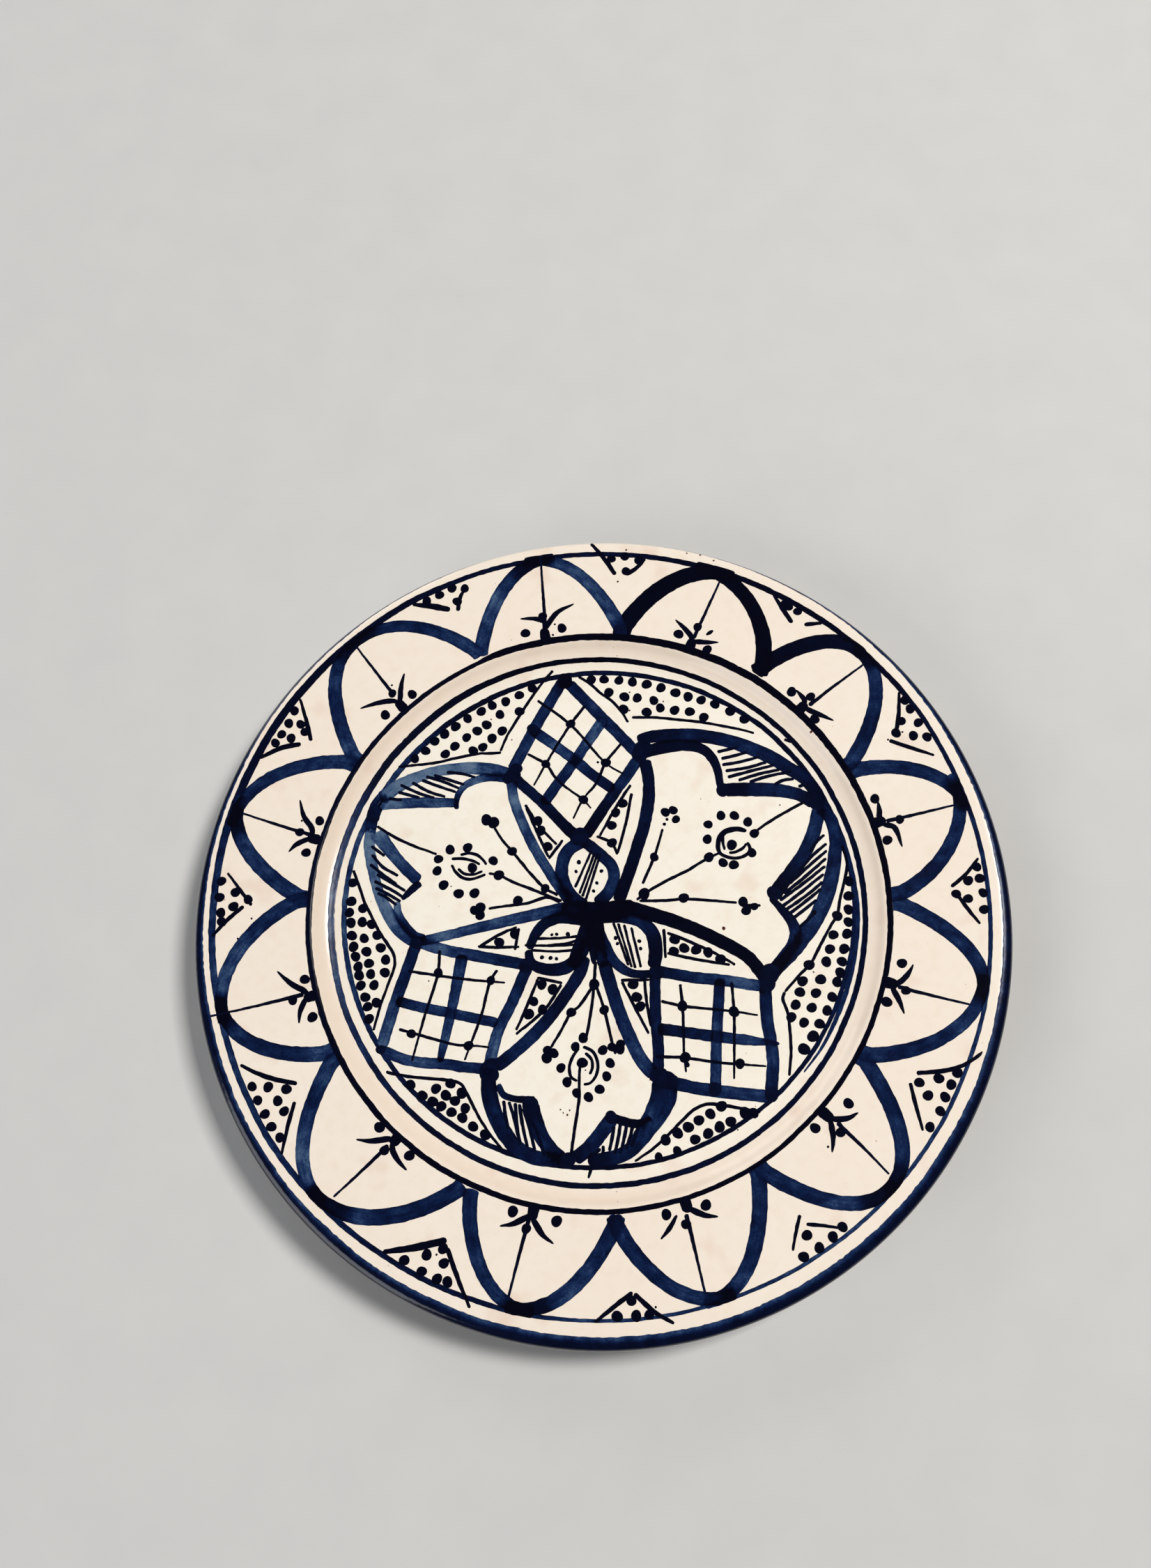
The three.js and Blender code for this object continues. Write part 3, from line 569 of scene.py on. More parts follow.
TULIP_HATCHES = {
    "tulip_a": [
        [(-81, 43), (-75.4, 42.3)], [(-77.3, 45.5), (-68.6, 43.2)],
        [(-76.5, 48.5), (-69, 45), (-62.9, 43.2)], [(-72, 49.4), (-65, 45.6), (-58.7, 43.6)],
        [(-68.2, 50.4), (-62, 48), (-54.5, 45.5)], [(-66.7, 51.9), (-60, 49.8), (-53.4, 47)],
        [(-63.6, 52.4), (-57.4, 50.4), (-51.5, 48.5)], [(-58.7, 53.6), (-53, 53), (-47.3, 51.5)],
        [(-86.5, 24), (-81, 20)], [(-86, 20.6), (-81.4, 15.6), (-75.4, 12.3)],
        [(-86.5, 16.8), (-81.4, 12.8), (-75.8, 9)], [(-83.7, 12.9), (-78, 9.8), (-72.3, 6.4)],
        [(-84.5, 10.2), (-78, 7), (-72, 3.4)], [(-84, 7.6), (-79, 5.2), (-73.9, 2.3)],
        [(-83, 5.7), (-79, 3.6), (-75.4, 0.9)],
    ],
    "tulip_b": [
        [(46.2, 61.7), (54.1, 63.6)], [(47.7, 59), (52, 60), (57.9, 61.7)],
        [(48, 56.4), (55, 57.7), (62.5, 59.8)], [(49.2, 54), (57, 55.2), (65.1, 57.6)],
        [(50, 51.5), (59, 54), (68.1, 56.4)], [(54.1, 50.2), (62, 52.8), (70, 54.5)],
        [(58.3, 49.6), (66, 52), (74.6, 53.8)], [(67.8, 48.5), (71, 50.2), (75.3, 50.8)],
        [(76.8, 47.7), (79.1, 48.5)], [(80.3, 22), (83, 26), (86, 28.8)],
        [(76, 14.8), (81, 20.4), (86.7, 25.4)], [(72.3, 9.8), (79, 16), (86.7, 22.7)],
        [(70, 6), (77.6, 12), (86.3, 19.7)], [(68.5, 3.4), (77, 9.6), (85.9, 16.7)],
        [(69.3, 1.1), (77, 7), (85.2, 13.6)], [(70.8, 0), (77.4, 4.6), (84.8, 10.6)],
        [(71.9, -1.5), (78, 3), (84, 8)], [(73.1, -3.4), (78, 0.4), (82.2, 3.8)],
        [(75.3, -6.8), (78.4, -4), (81, -1.5)],
    ],
    "tulip_c": [
        [(-32.6, -70.4), (-31.7, -76), (-30.5, -80.6)], [(-30.7, -70.8), (-28.5, -77), (-26.9, -83.3)],
        [(-28.4, -71.2), (-27.5, -79), (-26.1, -86)], [(-26.9, -71.6), (-25.3, -80), (-23.5, -86.7)],
        [(-25.4, -71.6), (-23, -80), (-20.8, -87.8)], [(-23.5, -75.3), (-20, -82), (-17.4, -89.7)],
        [(7.2, -78.7), (6.6, -83), (5.6, -87.5)], [(9.5, -78), (8.8, -83), (7.5, -88.5)],
        [(11.8, -78), (10.9, -83), (9.5, -88.5)], [(14, -78.5), (12.9, -83), (11.5, -87)],
        [(16, -79), (13.5, -86)], [(3.4, -85.6), (3.4, -87.8), (2.6, -89.4)],
        [(-0.4, -90.5), (0.6, -88.4), (2.6, -86.7)],
    ],
}

# Fine lines that grow in each tulip, its eye flower, and dots as (x, y, radius)
TULIP_LINES = {
    "tulip_a": [
        [(-14.4, 5), (-19.3, 7.6), (-24.2, 12.5), (-32.2, 22), (-35.6, 25.8), (-39.4, 31.4)],
        [(-12.9, 2.7), (-24.2, 7.2), (-31.8, 10.2), (-37, 12.7), (-40.9, 13.4)],
        [(-13.6, 2.3), (-18.2, 4.2), (-25.8, 1.9), (-29.5, 1.4), (-35.6, 0.6), (-40.5, -0.2)],
        [(-84.8, 31.8), (-77.3, 27.3), (-69.7, 23.9), (-61, 20.8)],
        [(-55.2, 16.7), (-53, 13.3), (-50, 11.4), (-47, 11.2), (-42, 13)],
        [(-52.7, 15.2), (-50.4, 13.3), (-47, 12.9), (-43.2, 14.2)],
        [(-55.3, 19), (-50.8, 19.1), (-47, 18.2), (-44.3, 16.8)],
        [(-52, 20.6), (-48.5, 21.2), (-45.5, 20.5), (-43.2, 18.6), (-41.8, 16.7)],
    ],
    "tulip_b": [
        [(17.4, 9.5), (21.8, 19.9), (23.8, 26.5), (25, 31)],
        [(25.4, 32.2), (26, 33.4)],
        [(26.4, 34.2), (27, 35.2)],
        [(15.2, 3.4), (18, 5.7), (26.1, 10.6), (34.4, 14.8), (40.5, 18.6), (46.5, 21.6)],
        [(16.2, 3), (26.1, 3.2), (32.8, 3.8), (41.2, 3.4), (52.6, 2.5)],
        [(56, 1.6), (61.4, 1.5)],
        [(79, 41.7), (71.5, 37.5), (64.7, 33.3), (60.2, 29.9)],
        [(48, 29.9), (47.7, 25.8), (48.4, 22.7)],
        [(50, 21.6), (52.6, 22), (55.3, 23.5), (56.8, 25.4)],
    ],
    "tulip_c": [
        [(0, -19.8), (-0.2, -24), (-0.4, -28.4)],
        [(-0.6, -28.6), (-6.1, -36.7), (-8.7, -38.7), (-12.1, -45), (-15.9, -51.5)],
        [(-0.4, -28.4), (-1.1, -35.9), (-2.3, -43.5), (-3.4, -49.6)],
        [(0.4, -28.9), (3.4, -37.7), (5.3, -45), (6.8, -51.1), (7.7, -53.6)],
        [(-8, -89.7), (-7.2, -82.9), (-6.1, -75.3), (-5.3, -67.8), (-5.5, -63.2), (-5.3, -58.7),
         (-4.9, -55.6)],
        [(-4.2, -51), (-0.8, -52.6), (1.1, -56.4), (0.8, -60.9), (-1.5, -64), (-3.8, -64.5)],
        [(-3.4, -53.2), (-1.1, -55.6), (-0.8, -58.7), (-1.7, -60.9)],
        [(-5.7, -51.5), (-8, -54.9), (-9.1, -58.7), (-8.3, -62), (-6.1, -63.3)],
    ],
}
# The thick crescent of the eye flower in the second tulip
CRESCENT = (
    (1.4, 2.2, 2.2, 1.8, 1.4, 1.3, 1.3, 1.2),
    BLACK,
    [(56.8, 30.2), (52.6, 30.9), (48.8, 29.9), (46.5, 27.3), (45.9, 24.2), (46.7, 21.4), (50.3, 19.8),
     (54.1, 19.8), (57.3, 21.6), (57.9, 23.5), (56.9, 25.8)],
)
TULIP_DOTS = {
    "tulip_a": [
        (-19.3, 7.6, 1.8), (-32.2, 22, 1.9), (-42.4, 34.4, 2.3), (-39.6, 33.3, 2.2), (-37, 12.7, 2),
        (-29.5, 2.9, 1.9), (-43.6, 0, 2.2), (-45.7, -0.9, 1.9), (-43.6, -2.6, 2), (-56, 22.6, 1.9),
        (-49.3, 23.4, 1.9), (-60.3, 18.9, 1.8), (-60.6, 14.3, 1.8), (-57.9, 8.8, 1.9), (-52, 5.5, 2),
        (-46, 5.7, 1.9), (-39.3, 18.3, 1.9), (-47.2, 15.5, 1.9),
    ],
    "tulip_b": [
        (21.8, 19.9, 1.8), (26.1, 37.5, 1.9), (29.1, 38.3, 1.8), (30.1, 34.7, 1.6), (18, 5.7, 2.2),
        (42.4, 19.9, 1.9), (32.8, 4.2, 1.9), (54.9, 2.8, 2), (56, -0.4, 2), (59, 1.1, 1.5),
        (59.7, 29.2, 1.8), (47.2, 36.2, 1.8), (52.3, 36.2, 1.8), (57.3, 33.7, 1.8), (42.3, 32.7, 1.8),
        (41.9, 26.9, 1.9), (47.7, 17.8, 1.9), (51.7, 17, 1.9), (58.6, 21.7, 1.8), (51.1, 24.7, 2),
        (81, -1.1, 1),
    ],
    "tulip_c": [
        (-0.4, -28.4, 2.1), (-8.7, -38.7, 1.8), (-17, -52.6, 1.9), (-14.8, -53.5, 1.9),
        (-17.4, -55.3, 1.9), (3.4, -37.7, 1.8), (6.4, -51.1, 1.8), (9.4, -50, 1.8), (9.3, -51.8, 1.8),
        (-4.4, -56.8, 2), (-7, -51.1, 1.8), (-4.2, -47.9, 1.9), (3, -52.2, 1.8), (5.7, -56.8, 1.8),
        (4.5, -61.5, 1.8), (2, -66.1, 1.8), (-2, -68.9, 1.8), (-6.3, -67.5, 1.8), (-9.8, -63.7, 1.8),
        (-12.1, -58.7, 1.8),
    ],
}

# Narrow triangles between the motifs: lines, dots
TRIANGLES = [
    ([[(-27.7, 40.5), (-22, 31.8), (-15.2, 24.6)], [(-27.3, 39.4), (-22.8, 29.4), (-18.2, 19.7)],
      [(-12.9, 26.5), (-18.2, 19)]], [(-22.6, 34), (-21.5, 30.1), (-18.7, 23.9)]),
    ([[(12.8, 48.5), (6.6, 38.4), (1.1, 28)], [(13.2, 45.1), (11, 33), (7.9, 21.2)],
      [(-0.1, 28), (5.6, 25.4), (7.9, 20.8)]], [(9.8, 41), (7.1, 37.3), (5.6, 32.3), (5.8, 25.4)]),
    ([[(-44, -14.6), (-36, -14.9), (-28.4, -14.6)], [(-43.2, -14.5), (-35.6, -9.8), (-29.5, -7.2)],
      [(-28.8, -7.5), (-30.1, -15.9)]], [(-36, -13), (-30.3, -9.7)]),
    ([[(-21.6, -26.1), (-12.1, -28)], [(-21.2, -26.5), (-25.4, -37.5), (-28.8, -45.4)],
      [(-12.5, -28.4), (-18.2, -37.5), (-28.8, -46.9)]],
     [(-19.7, -28.6), (-15.7, -30.3), (-22.7, -34.8), (-19.3, -37.8), (-24.2, -39.5)]),
    ([[(25.3, -7.5), (25.9, -18.5)], [(26.5, -9), (34.4, -12.1), (45, -17), (51.5, -20.8)],
      [(26.5, -16.6), (37.5, -18.9), (49.6, -20.8)]],
     [(29.3, -11.5), (29, -15.9), (32.8, -14.7), (37.2, -15.3), (41.6, -16.2), (46.2, -18.7)]),
    ([[(9.4, -26.8), (20, -26.5)], [(9.8, -27.2), (14.7, -36.7), (19.7, -46.2)],
      [(18.1, -26.5), (18.9, -34.4), (20.4, -43.5)]], [(14, -28.2), (15.3, -32.9), (16.6, -36.3)]),
]

# Dotted fields behind the motifs: lines, dots
DOTTED_FIELDS = [
    ([[(-18, 95.5), (-20.8, 92.4), (-26.1, 84.8), (-31, 76.5), (-35.6, 68.2), (-37.9, 62.1)],
      [(-37.6, 61.6), (-39.4, 61.4), (-47, 61), (-54.5, 59.5), (-63.6, 57.4), (-77.7, 55.7)]],
     [(-26.1, 88.3), (-31.2, 85.4), (-36.5, 82.7), (-41.8, 81.1), (-46, 78.6), (-51.3, 75.6),
      (-55.9, 72.3), (-60.1, 69.2), (-64, 66.3), (-67.3, 62.3), (-71.4, 59.1), (-30.9, 78.6),
      (-38.6, 77.3), (-43.7, 73), (-47.3, 70.5), (-51.4, 67.8), (-55.9, 64.2), (-59.5, 61),
      (-37.5, 70.5), (-41.4, 67.4), (-44.9, 63.8), (-48.6, 62.3)]),
    ([[(-8, 93.2), (-3.5, 90.2), (1.1, 86), (5.6, 82.6), (9.4, 78), (11.8, 73.9)],
      [(13.2, 76), (22.3, 75.9), (31.4, 75), (40.5, 73.9), (49.6, 72.1), (56.4, 70.6), (60.6, 69.3)]],
     [(-2.9, 91.7), (2.2, 91.9), (8.1, 91.5), (13.4, 90.8), (19, 89.8), (24.6, 88.3), (30.3, 86.2),
      (35.2, 84.5), (40.3, 83.1), (45.6, 81.3), (51.5, 78.3), (56.9, 75), (4.1, 86.4), (10.3, 84.6),
      (15.3, 84.1), (21.8, 83), (24.3, 79.9), (29.9, 78.9), (35.8, 78.3), (41.2, 75.9), (10, 79.4),
      (19, 78.2)]),
    ([[(-92.8, 14.4), (-90.2, 8.3), (-87.5, 1.5), (-85.6, -1.8), (-81.8, -8.7), (-78, -14),
       (-75.4, -18.1), (-75, -22.3), (-77.3, -29.9), (-79.5, -37.5), (-81.4, -46)]],
     [(-92.6, 9.5), (-92.8, 2.3), (-93.2, -2), (-92.4, -5.9), (-91.7, -10.8), (-90.8, -15),
      (-89.8, -18.7), (-88.6, -22.5), (-88, -25.7), (-87.1, -29.5), (-85.2, -33.8), (-84.1, -37.3),
      (-83.3, -41.8), (-88.1, -0.3), (-88.1, -5.6), (-87, -11.8), (-85.8, -16.8), (-84.6, -21.2),
      (-83.7, -25.2), (-82.2, -29.3), (-80.8, -35.8), (-84.5, -6.4), (-82.1, -10.6), (-80.5, -15.3),
      (-78.4, -19.8), (-78.4, -24.6)]),
    ([[(92.4, 24.6), (93.9, 17.4), (92.8, 11.4), (90.5, 3), (89.7, -1.5), (86.7, -6.4), (82.9, -13.2),
       (79.1, -20), (74.6, -24.6), (69.3, -30.6)],
      [(69.3, -30.6), (68.5, -32.9), (70, -37.5), (70.8, -45), (70.9, -52.6), (70, -60.6)]],
     [(94.3, 10.8), (94, 5.2), (93.7, 0.1), (93.5, -4.6), (92.8, -9), (89.5, -2.3), (87.8, -9.4),
      (91.5, -14.6), (86.3, -14.7), (90.5, -19.3), (84.8, -19.4), (78.5, -20.6), (89.7, -23.4),
      (88.4, -26.8), (82.5, -25.9), (75.9, -26.6), (86.5, -32.3), (80.6, -30.9), (74.8, -30.6),
      (84.4, -37.2), (78.9, -36.2), (73.1, -35.2), (81.5, -42), (75.9, -41.6), (71.4, -39.7),
      (79, -46.5, 2.1), (75.6, -51.1, 2.3)]),
    ([[(-75.8, -60.8), (-69.7, -62.1), (-60.6, -63), (-53, -63.6), (-48.5, -64.7), (-46.2, -67.8),
       (-42.4, -74.6), (-37.9, -81.4), (-32.6, -87.5)]],
     [(-66.7, -65.3), (-52.1, -64.7), (-57.3, -66.6), (-53.6, -68.9), (-47.9, -68.1), (-62.1, -69.1),
      (-50.2, -70.8), (-58.3, -71.2), (-55.1, -72.8), (-46.4, -73.4), (-51.3, -74.8), (-47.3, -76.7),
      (-43.3, -79.7), (-38.8, -82.5)]),
    ([[(59.4, -73.4), (52.6, -72.2), (46.5, -71.2), (40.5, -70.8), (35.9, -72.7), (31.4, -76.8),
       (26.1, -82.1), (20.8, -86.7), (14.7, -90.9)]],
     [(45.6, -71.5), (54.1, -73.8, 2.3), (57, -73.7, 1.9), (41.6, -74.2), (37.5, -76.5), (48.8, -76.8),
      (33.7, -78.9), (44.8, -78.7), (29.9, -81), (40.7, -81), (36.1, -83.1), (25.6, -83.4),
      (29.7, -87.1, 1.7), (23.1, -89.2, 1.6)]),
]

# Stray touches of the brush: (width, points)
STRAY_TOUCHES = [
    ((1.3, 0.8), [(-0.8, -93.7), (-1.7, -96.9)]),
    ((1.2, 0.5), [(72, 66.6), (74.6, 65.1)]),
]
# Flecks of iron in the glaze: (x, y, radius)
FLECKS = [
    (-61.8, -27.6, 0.32), (-55, 8.3, 0.3), (-42, 75.3, 0.32), (12.3, 86.5, 0.36), (25.5, 82.6, 0.34),
    (12.3, 78.9, 0.4), (80, -23.2, 0.34), (-9.5, -75.2, 0.42), (-8.7, -73.6, 0.32), (-12, -73.4, 0.3),
    (-11, -74.5, 0.28), (47.5, -7.2, 0.7), (81.8, 68, 0.5), (69.6, 40.4, 0.3), (-3.2, -59.4, 0.3),
    (51.2, -79.6, 0.32), (35, 142.4, 0.34), (45.6, 139, 0.38), (40.3, 141.6, 0.34), (-33.6, 66.8, 0.3),
]

# Curves ------------------------------------------------------------------------------------------


def hermite(points, per_gap):
    """Points along a smooth curve through the given ones, the same number in each gap."""
    p = np.array(points, float)
    gaps = np.sqrt(np.linalg.norm(np.diff(p, axis=0), axis=1))
    slopes = np.diff(p, axis=0) / gaps[:, None]
    tangents = np.vstack([slopes[:1], slopes[-1:]])
    if len(p) > 2:
        before, after = gaps[:-1, None], gaps[1:, None]
        middle = (slopes[:-1] * after + slopes[1:] * before) / (before + after)
        tangents = np.vstack([slopes[:1], middle, slopes[-1:]])
    t = np.linspace(0, 1, per_gap, endpoint=False)[None, :, None]
    a, b = p[:-1, None], p[1:, None]
    ta, tb = (tangents[:-1] * gaps[:, None])[:, None], (tangents[1:] * gaps[:, None])[:, None]
    curve = (
        (2 * t**3 - 3 * t**2 + 1) * a
        + (t**3 - 2 * t**2 + t) * ta
        + (3 * t**2 - 2 * t**3) * b
        + (t**3 - t**2) * tb
    )
    return np.vstack([curve.reshape(-1, p.shape[1]), p[-1:]])


def lengths_along(line):
    """Distance from the start of a line to each of its points."""
    return np.concatenate([[0], np.cumsum(np.linalg.norm(np.diff(line, axis=0), axis=1))])


def at_lengths(line, wanted):
    """Points of a line at the wanted distances from its start."""
    lengths = lengths_along(line)
    return np.stack([np.interp(wanted, lengths, axis) for axis in line.T], axis=1)


def spread(values, shares):
    """A number, or a tuple spread evenly along a stroke, read at shares from 0 to 1."""
    values = np.atleast_1d(np.array(values, float))
    return np.interp(shares, np.linspace(0, 1, len(values)), values)


def smoothstep(x, start, end):
    share = np.clip((x - start) / (end - start), 0, 1)
    return share * share * (3 - 2 * share)


def soft_noise(count, smoothness):
    """Seeded random wander with a spread of about 1, smoothed over that many neighbours."""
    raw = RANDOM.normal(size=count + 2 * smoothness)
    kernel = np.hanning(2 * smoothness + 1)
    kernel /= np.sqrt((kernel**2).sum())
    return np.convolve(raw, kernel, mode="same")[smoothness : smoothness + count]


# Shape of the body -------------------------------------------------------------------------------

FACE_CURVE = hermite(FACE_PROFILE, 12)
BACK_CURVE = hermite(BACK_PROFILE, 8)
SLOW_WAVE = 0.11
SKEW_WAVE = 0.06
WAVE_FADE_START_R = 138.0
WAVE_FADE_START_Z = 7.5
WAVE_FADE_DEPTH = 5.0
CREST_REACH = 1.6  # the face counts as a height field as far as this inside the edge of the lip
SLOPE_STEP = 0.4


def hand_wave(x, y):
    """How far the hand thrown face rises and dips."""
    slow = SLOW_WAVE * np.sin(x / 31 + 0.4) * np.cos(y / 27 - 1.1)
    skew = SKEW_WAVE * np.sin((x + 0.7 * y) / 19 + 2.0)
    return slow + skew


def face_height(x, y):
    """Height of the finished glaze of the face at a place on it."""
    r = np.hypot(x, y)
    fade = 1 - smoothstep(r, WAVE_FADE_START_R, LIP_WARP_END_R)
    crest = FACE_CURVE[FACE_CURVE[:, 0] <= LIP_WARP_END_R - CREST_REACH]
    return np.interp(r, crest[:, 0], crest[:, 1]) + fade * hand_wave(x, y)


def face_normals(places):
    """The glaze's own direction at each place, so that paint shades as a flat coat on it."""
    x, y = places[:, 0], places[:, 1]
    slope_x = (face_height(x + SLOPE_STEP, y) - face_height(x - SLOPE_STEP, y)) / (2 * SLOPE_STEP)
    slope_y = (face_height(x, y + SLOPE_STEP) - face_height(x, y - SLOPE_STEP)) / (2 * SLOPE_STEP)
    normals = np.column_stack([-slope_x, -slope_y, np.ones(len(places))])
    return normals / np.linalg.norm(normals, axis=1)[:, None]


def lip_reach(angle):
    """How much further out than nominal the lip is in a direction, anticlockwise from +X."""
    return LIP_GROWTH + LIP_SHIFT_X * np.cos(angle) + LIP_SHIFT_Y * np.sin(angle)


def body_place(r, z, angle):
    """A nominal place on the body, moved to where the hand made plate has it."""
    moved = r + lip_reach(angle) * smoothstep(r, LIP_WARP_START_R, LIP_WARP_END_R)
    x, y = moved * np.cos(angle), moved * np.sin(angle)
    fade = 1 - smoothstep(r, WAVE_FADE_START_R, LIP_WARP_END_R)
    fade = fade * smoothstep(z, WAVE_FADE_START_Z, WAVE_FADE_START_Z + WAVE_FADE_DEPTH)
    return np.stack([x, y, z + fade * hand_wave(x, y)], axis=-1)


# Meshes ------------------------------------------------------------------------------------------


def make_piece(name, vertices, faces, material, slot, replaced=(), tones=None, brush=None):
    """A smooth shaded piece of the plate from places in millimetres."""
    mesh = bpy.data.meshes.new(name)
    mesh.from_pydata((np.asarray(vertices) * MM).tolist(), [], faces)
    mesh.shade_smooth()
    if tones is not None:
        mesh.attributes.new("tone", "FLOAT", "POINT").data.foreach_set("value", tones.astype("f"))
    if brush is not None:
        layer = mesh.attributes.new("brush", "FLOAT_VECTOR", "POINT")
        layer.data.foreach_set("vector", brush.astype("f").ravel())
    mesh.materials.append(material)
    piece = bpy.data.objects.new(name, mesh)
    bpy.context.scene.collection.objects.link(piece)
    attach(piece, "root")
    if replaced:
        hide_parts(*replaced)
    return piece


DENSE_STEP = 0.1
BEND_WINDOW = 31
BEND_LIMIT = 0.01  # radians in a millimetre


def resample(profile, fine_step, coarse_step):
    """Points along a profile: coarse where it is straight, fine where it bends."""
    dense = at_lengths(profile, np.arange(0, lengths_along(profile)[-1], DENSE_STEP))
    heading = np.unwrap(np.arctan2(*np.gradient(dense, axis=0).T[::-1]))
    turn = np.abs(np.gradient(heading)) / DENSE_STEP
    bend = np.convolve(turn, np.ones(BEND_WINDOW) / BEND_WINDOW, mode="same")
    step = np.where(bend > BEND_LIMIT, fine_step, coarse_step)
    count = np.cumsum(DENSE_STEP / step)
    picks = np.searchsorted(count, np.arange(0, int(count[-1])))
    return np.vstack([dense[np.unique(picks)], profile[-1:]])


def revolve(profile, segments, closes):
    """Vertices and faces of a profile turned about Z: closed on itself, or from axis to axis."""
    angles = np.linspace(0, 2 * np.pi, segments, endpoint=False)
    ring = profile if closes else profile[1:-1]
    grid = body_place(ring[:, None, 0], ring[:, None, 1], angles[None, :])
    vertices = grid.reshape(-1, 3)
    rows = len(ring)
    index = np.arange(rows * segments).reshape(rows, segments)
    faces = []
    for i in range(rows if closes else rows - 1):
        a, b = index[i], index[(i + 1) % rows]
        faces += np.stack([a, np.roll(a, -1), np.roll(b, -1), b], axis=1).tolist()
    if not closes:
        ends = body_place(profile[[0, -1], 0], profile[[0, -1], 1], np.zeros(2))
        first, last = len(vertices), len(vertices) + 1
        vertices = np.vstack([vertices, ends])
        start, end = index[0], index[-1]
        faces += np.stack([np.full(segments, first), np.roll(start, -1), start], axis=1).tolist()
        faces += np.stack([np.full(segments, last), end, np.roll(end, -1)], axis=1).tolist()
    return vertices, faces


def offset(profile, distance):
    """A profile moved sideways, to the left of the way that it runs."""
    run = np.gradient(profile, axis=0)
    run /= np.linalg.norm(run, axis=1)[:, None]
    moved = profile + distance * np.stack([-run[:, 1], run[:, 0]], axis=1)
    moved[:, 0] = np.where(profile[:, 0] < 1e-6, 0, np.maximum(moved[:, 0], 0))
    return moved


# Brush work --------------------------------------------------------------------------------------

# Where the points across a stroke lie, and how high: 1 is its full lift, -1 is under the glaze.
WIDE_SECTION = np.array([-1, -0.965, -0.86, -0.5, 0, 0.5, 0.86, 0.965, 1])
WIDE_RISE = np.array([-1, 0.35, 0.9, 1, 1, 1, 0.9, 0.35, -1])
THIN_SECTION = np.array([-1, -0.92, 0, 0.92, 1])
THIN_RISE = np.array([-1, 0.6, 1, 0.6, -1])
WIDE_FROM = 2.3
STEP = 0.75
POINTS_PER_GAP = 16
END_POINTS = 6
END_WIDTH = 0.06
SUNK = 0.012
EDGE_HIDDEN = 0.04
WIDE_ROUGHNESS = 0.055
THIN_ROUGHNESS = 0.045
OVERLAP_TONE = 0.3
OVERLAP_SOFTNESS = 0.5
OVERLAP_SEARCH = 4.0
TONE_DRIFT = 0.05
EDGE_POOLING = 0.1
EDGE_FROM = 0.8
DARK_FADE = 1.6


class Stroke:
    """One pass of the brush: its centreline, half widths and tones at each station."""

    def __init__(self, row, closed=False, roundness=1.0):
        width, tone, points = row
        smooth = np.array(points, float) if closed else hermite(points, POINTS_PER_GAP)
        total = lengths_along(smooth)[-1]
        cap = min(roundness * np.mean(width) / 2, total / 3)
        stations = np.arange(cap, total - cap, STEP)
        if closed:
            stations = np.linspace(0, total, int(total / STEP))
        else:
            ends = cap * (1 - np.cos(np.linspace(0, np.pi / 2, END_POINTS)))
            stations = np.concatenate([ends[:-1], stations, total - ends[::-1]])
        self.closed = closed
        self.lengths = stations
        self.line = at_lengths(smooth, stations)
        shares = stations / total
        self.half = spread(width, shares) / 2 + EDGE_HIDDEN
        self.tone = spread(tone, shares)
        if not closed:
            near_end = np.minimum(stations, total - stations) / cap
            round_end = np.sqrt(1 - (1 - np.clip(near_end, 0, 1)) ** 2)
            self.half = self.half * np.maximum(round_end, END_WIDTH)
        self.seed = RANDOM.uniform(0, 100)
        self.full = np.mean(self.half)

    def covers(self, places):
        """From 0 to 1, how far each place is inside this stroke."""
        low, high = self.line.min(0) - OVERLAP_SEARCH, self.line.max(0) + OVERLAP_SEARCH
        inside = np.zeros(len(places))
        near = np.all((places > low) & (places < high), axis=1)
        if near.any():
            apart = np.linalg.norm(places[near][:, None] - self.line[None], axis=2)
            closest = apart.argmin(axis=1)
            depth = self.half[closest] - apart.min(axis=1)
            inside[near] = np.clip(depth / OVERLAP_SOFTNESS + 0.5, 0, 1)
        return inside


def directions(stroke):
    """The way a stroke runs at each of its stations, as unit vectors."""
    run = np.gradient(stroke.line, axis=0)
    if stroke.closed:
        run[0] = run[-1] = stroke.line[1] - stroke.line[-2]
    return run / np.linalg.norm(run, axis=1)[:, None]


def across_stroke(stroke, section, roughness):
    """How far from the centreline each point of each cross section lies, with ragged edges."""
    count = len(stroke.line)
    edges = np.stack([soft_noise(count, 2), soft_noise(count, 2)], axis=1) * roughness
    edges = edges * np.minimum(stroke.half / stroke.full, 1)[:, None]
    on_left = section[None] < 0
    ragged = np.where(on_left, edges[:, :1], edges[:, 1:])
    outwards = np.where(on_left, -1, 1) * np.abs(section)[None]
    return stroke.half[:, None] * section[None] + outwards * ragged


def wide_tones(tones, places, section, others, overlap):
    """Tones of a wide stroke that drift along it, pool at its edges and darken over others."""
    count = len(places) // len(section)
    drift = np.repeat(soft_noise(count, 6) * TONE_DRIFT, len(section))
    pooled = np.tile(EDGE_POOLING * (np.abs(section) > EDGE_FROM), count)
    tones = tones + (drift + pooled) * np.clip(DARK_FADE * (1 - tones), 0, 1)
    for other in others:
        tones = tones + overlap * other.covers(places)
    return tones


def strip_faces(count, across, closed):
    """Faces of a strip of cross sections that face up."""
    index = np.arange(count * across).reshape(count, across)
    if closed:
        index[-1] = index[0]
    a, b = index[:-1, :-1], index[1:, :-1]
    c, d = index[1:, 1:], index[:-1, 1:]
    return np.stack([a, b, c, d], axis=-1).reshape(-1, 4).tolist()


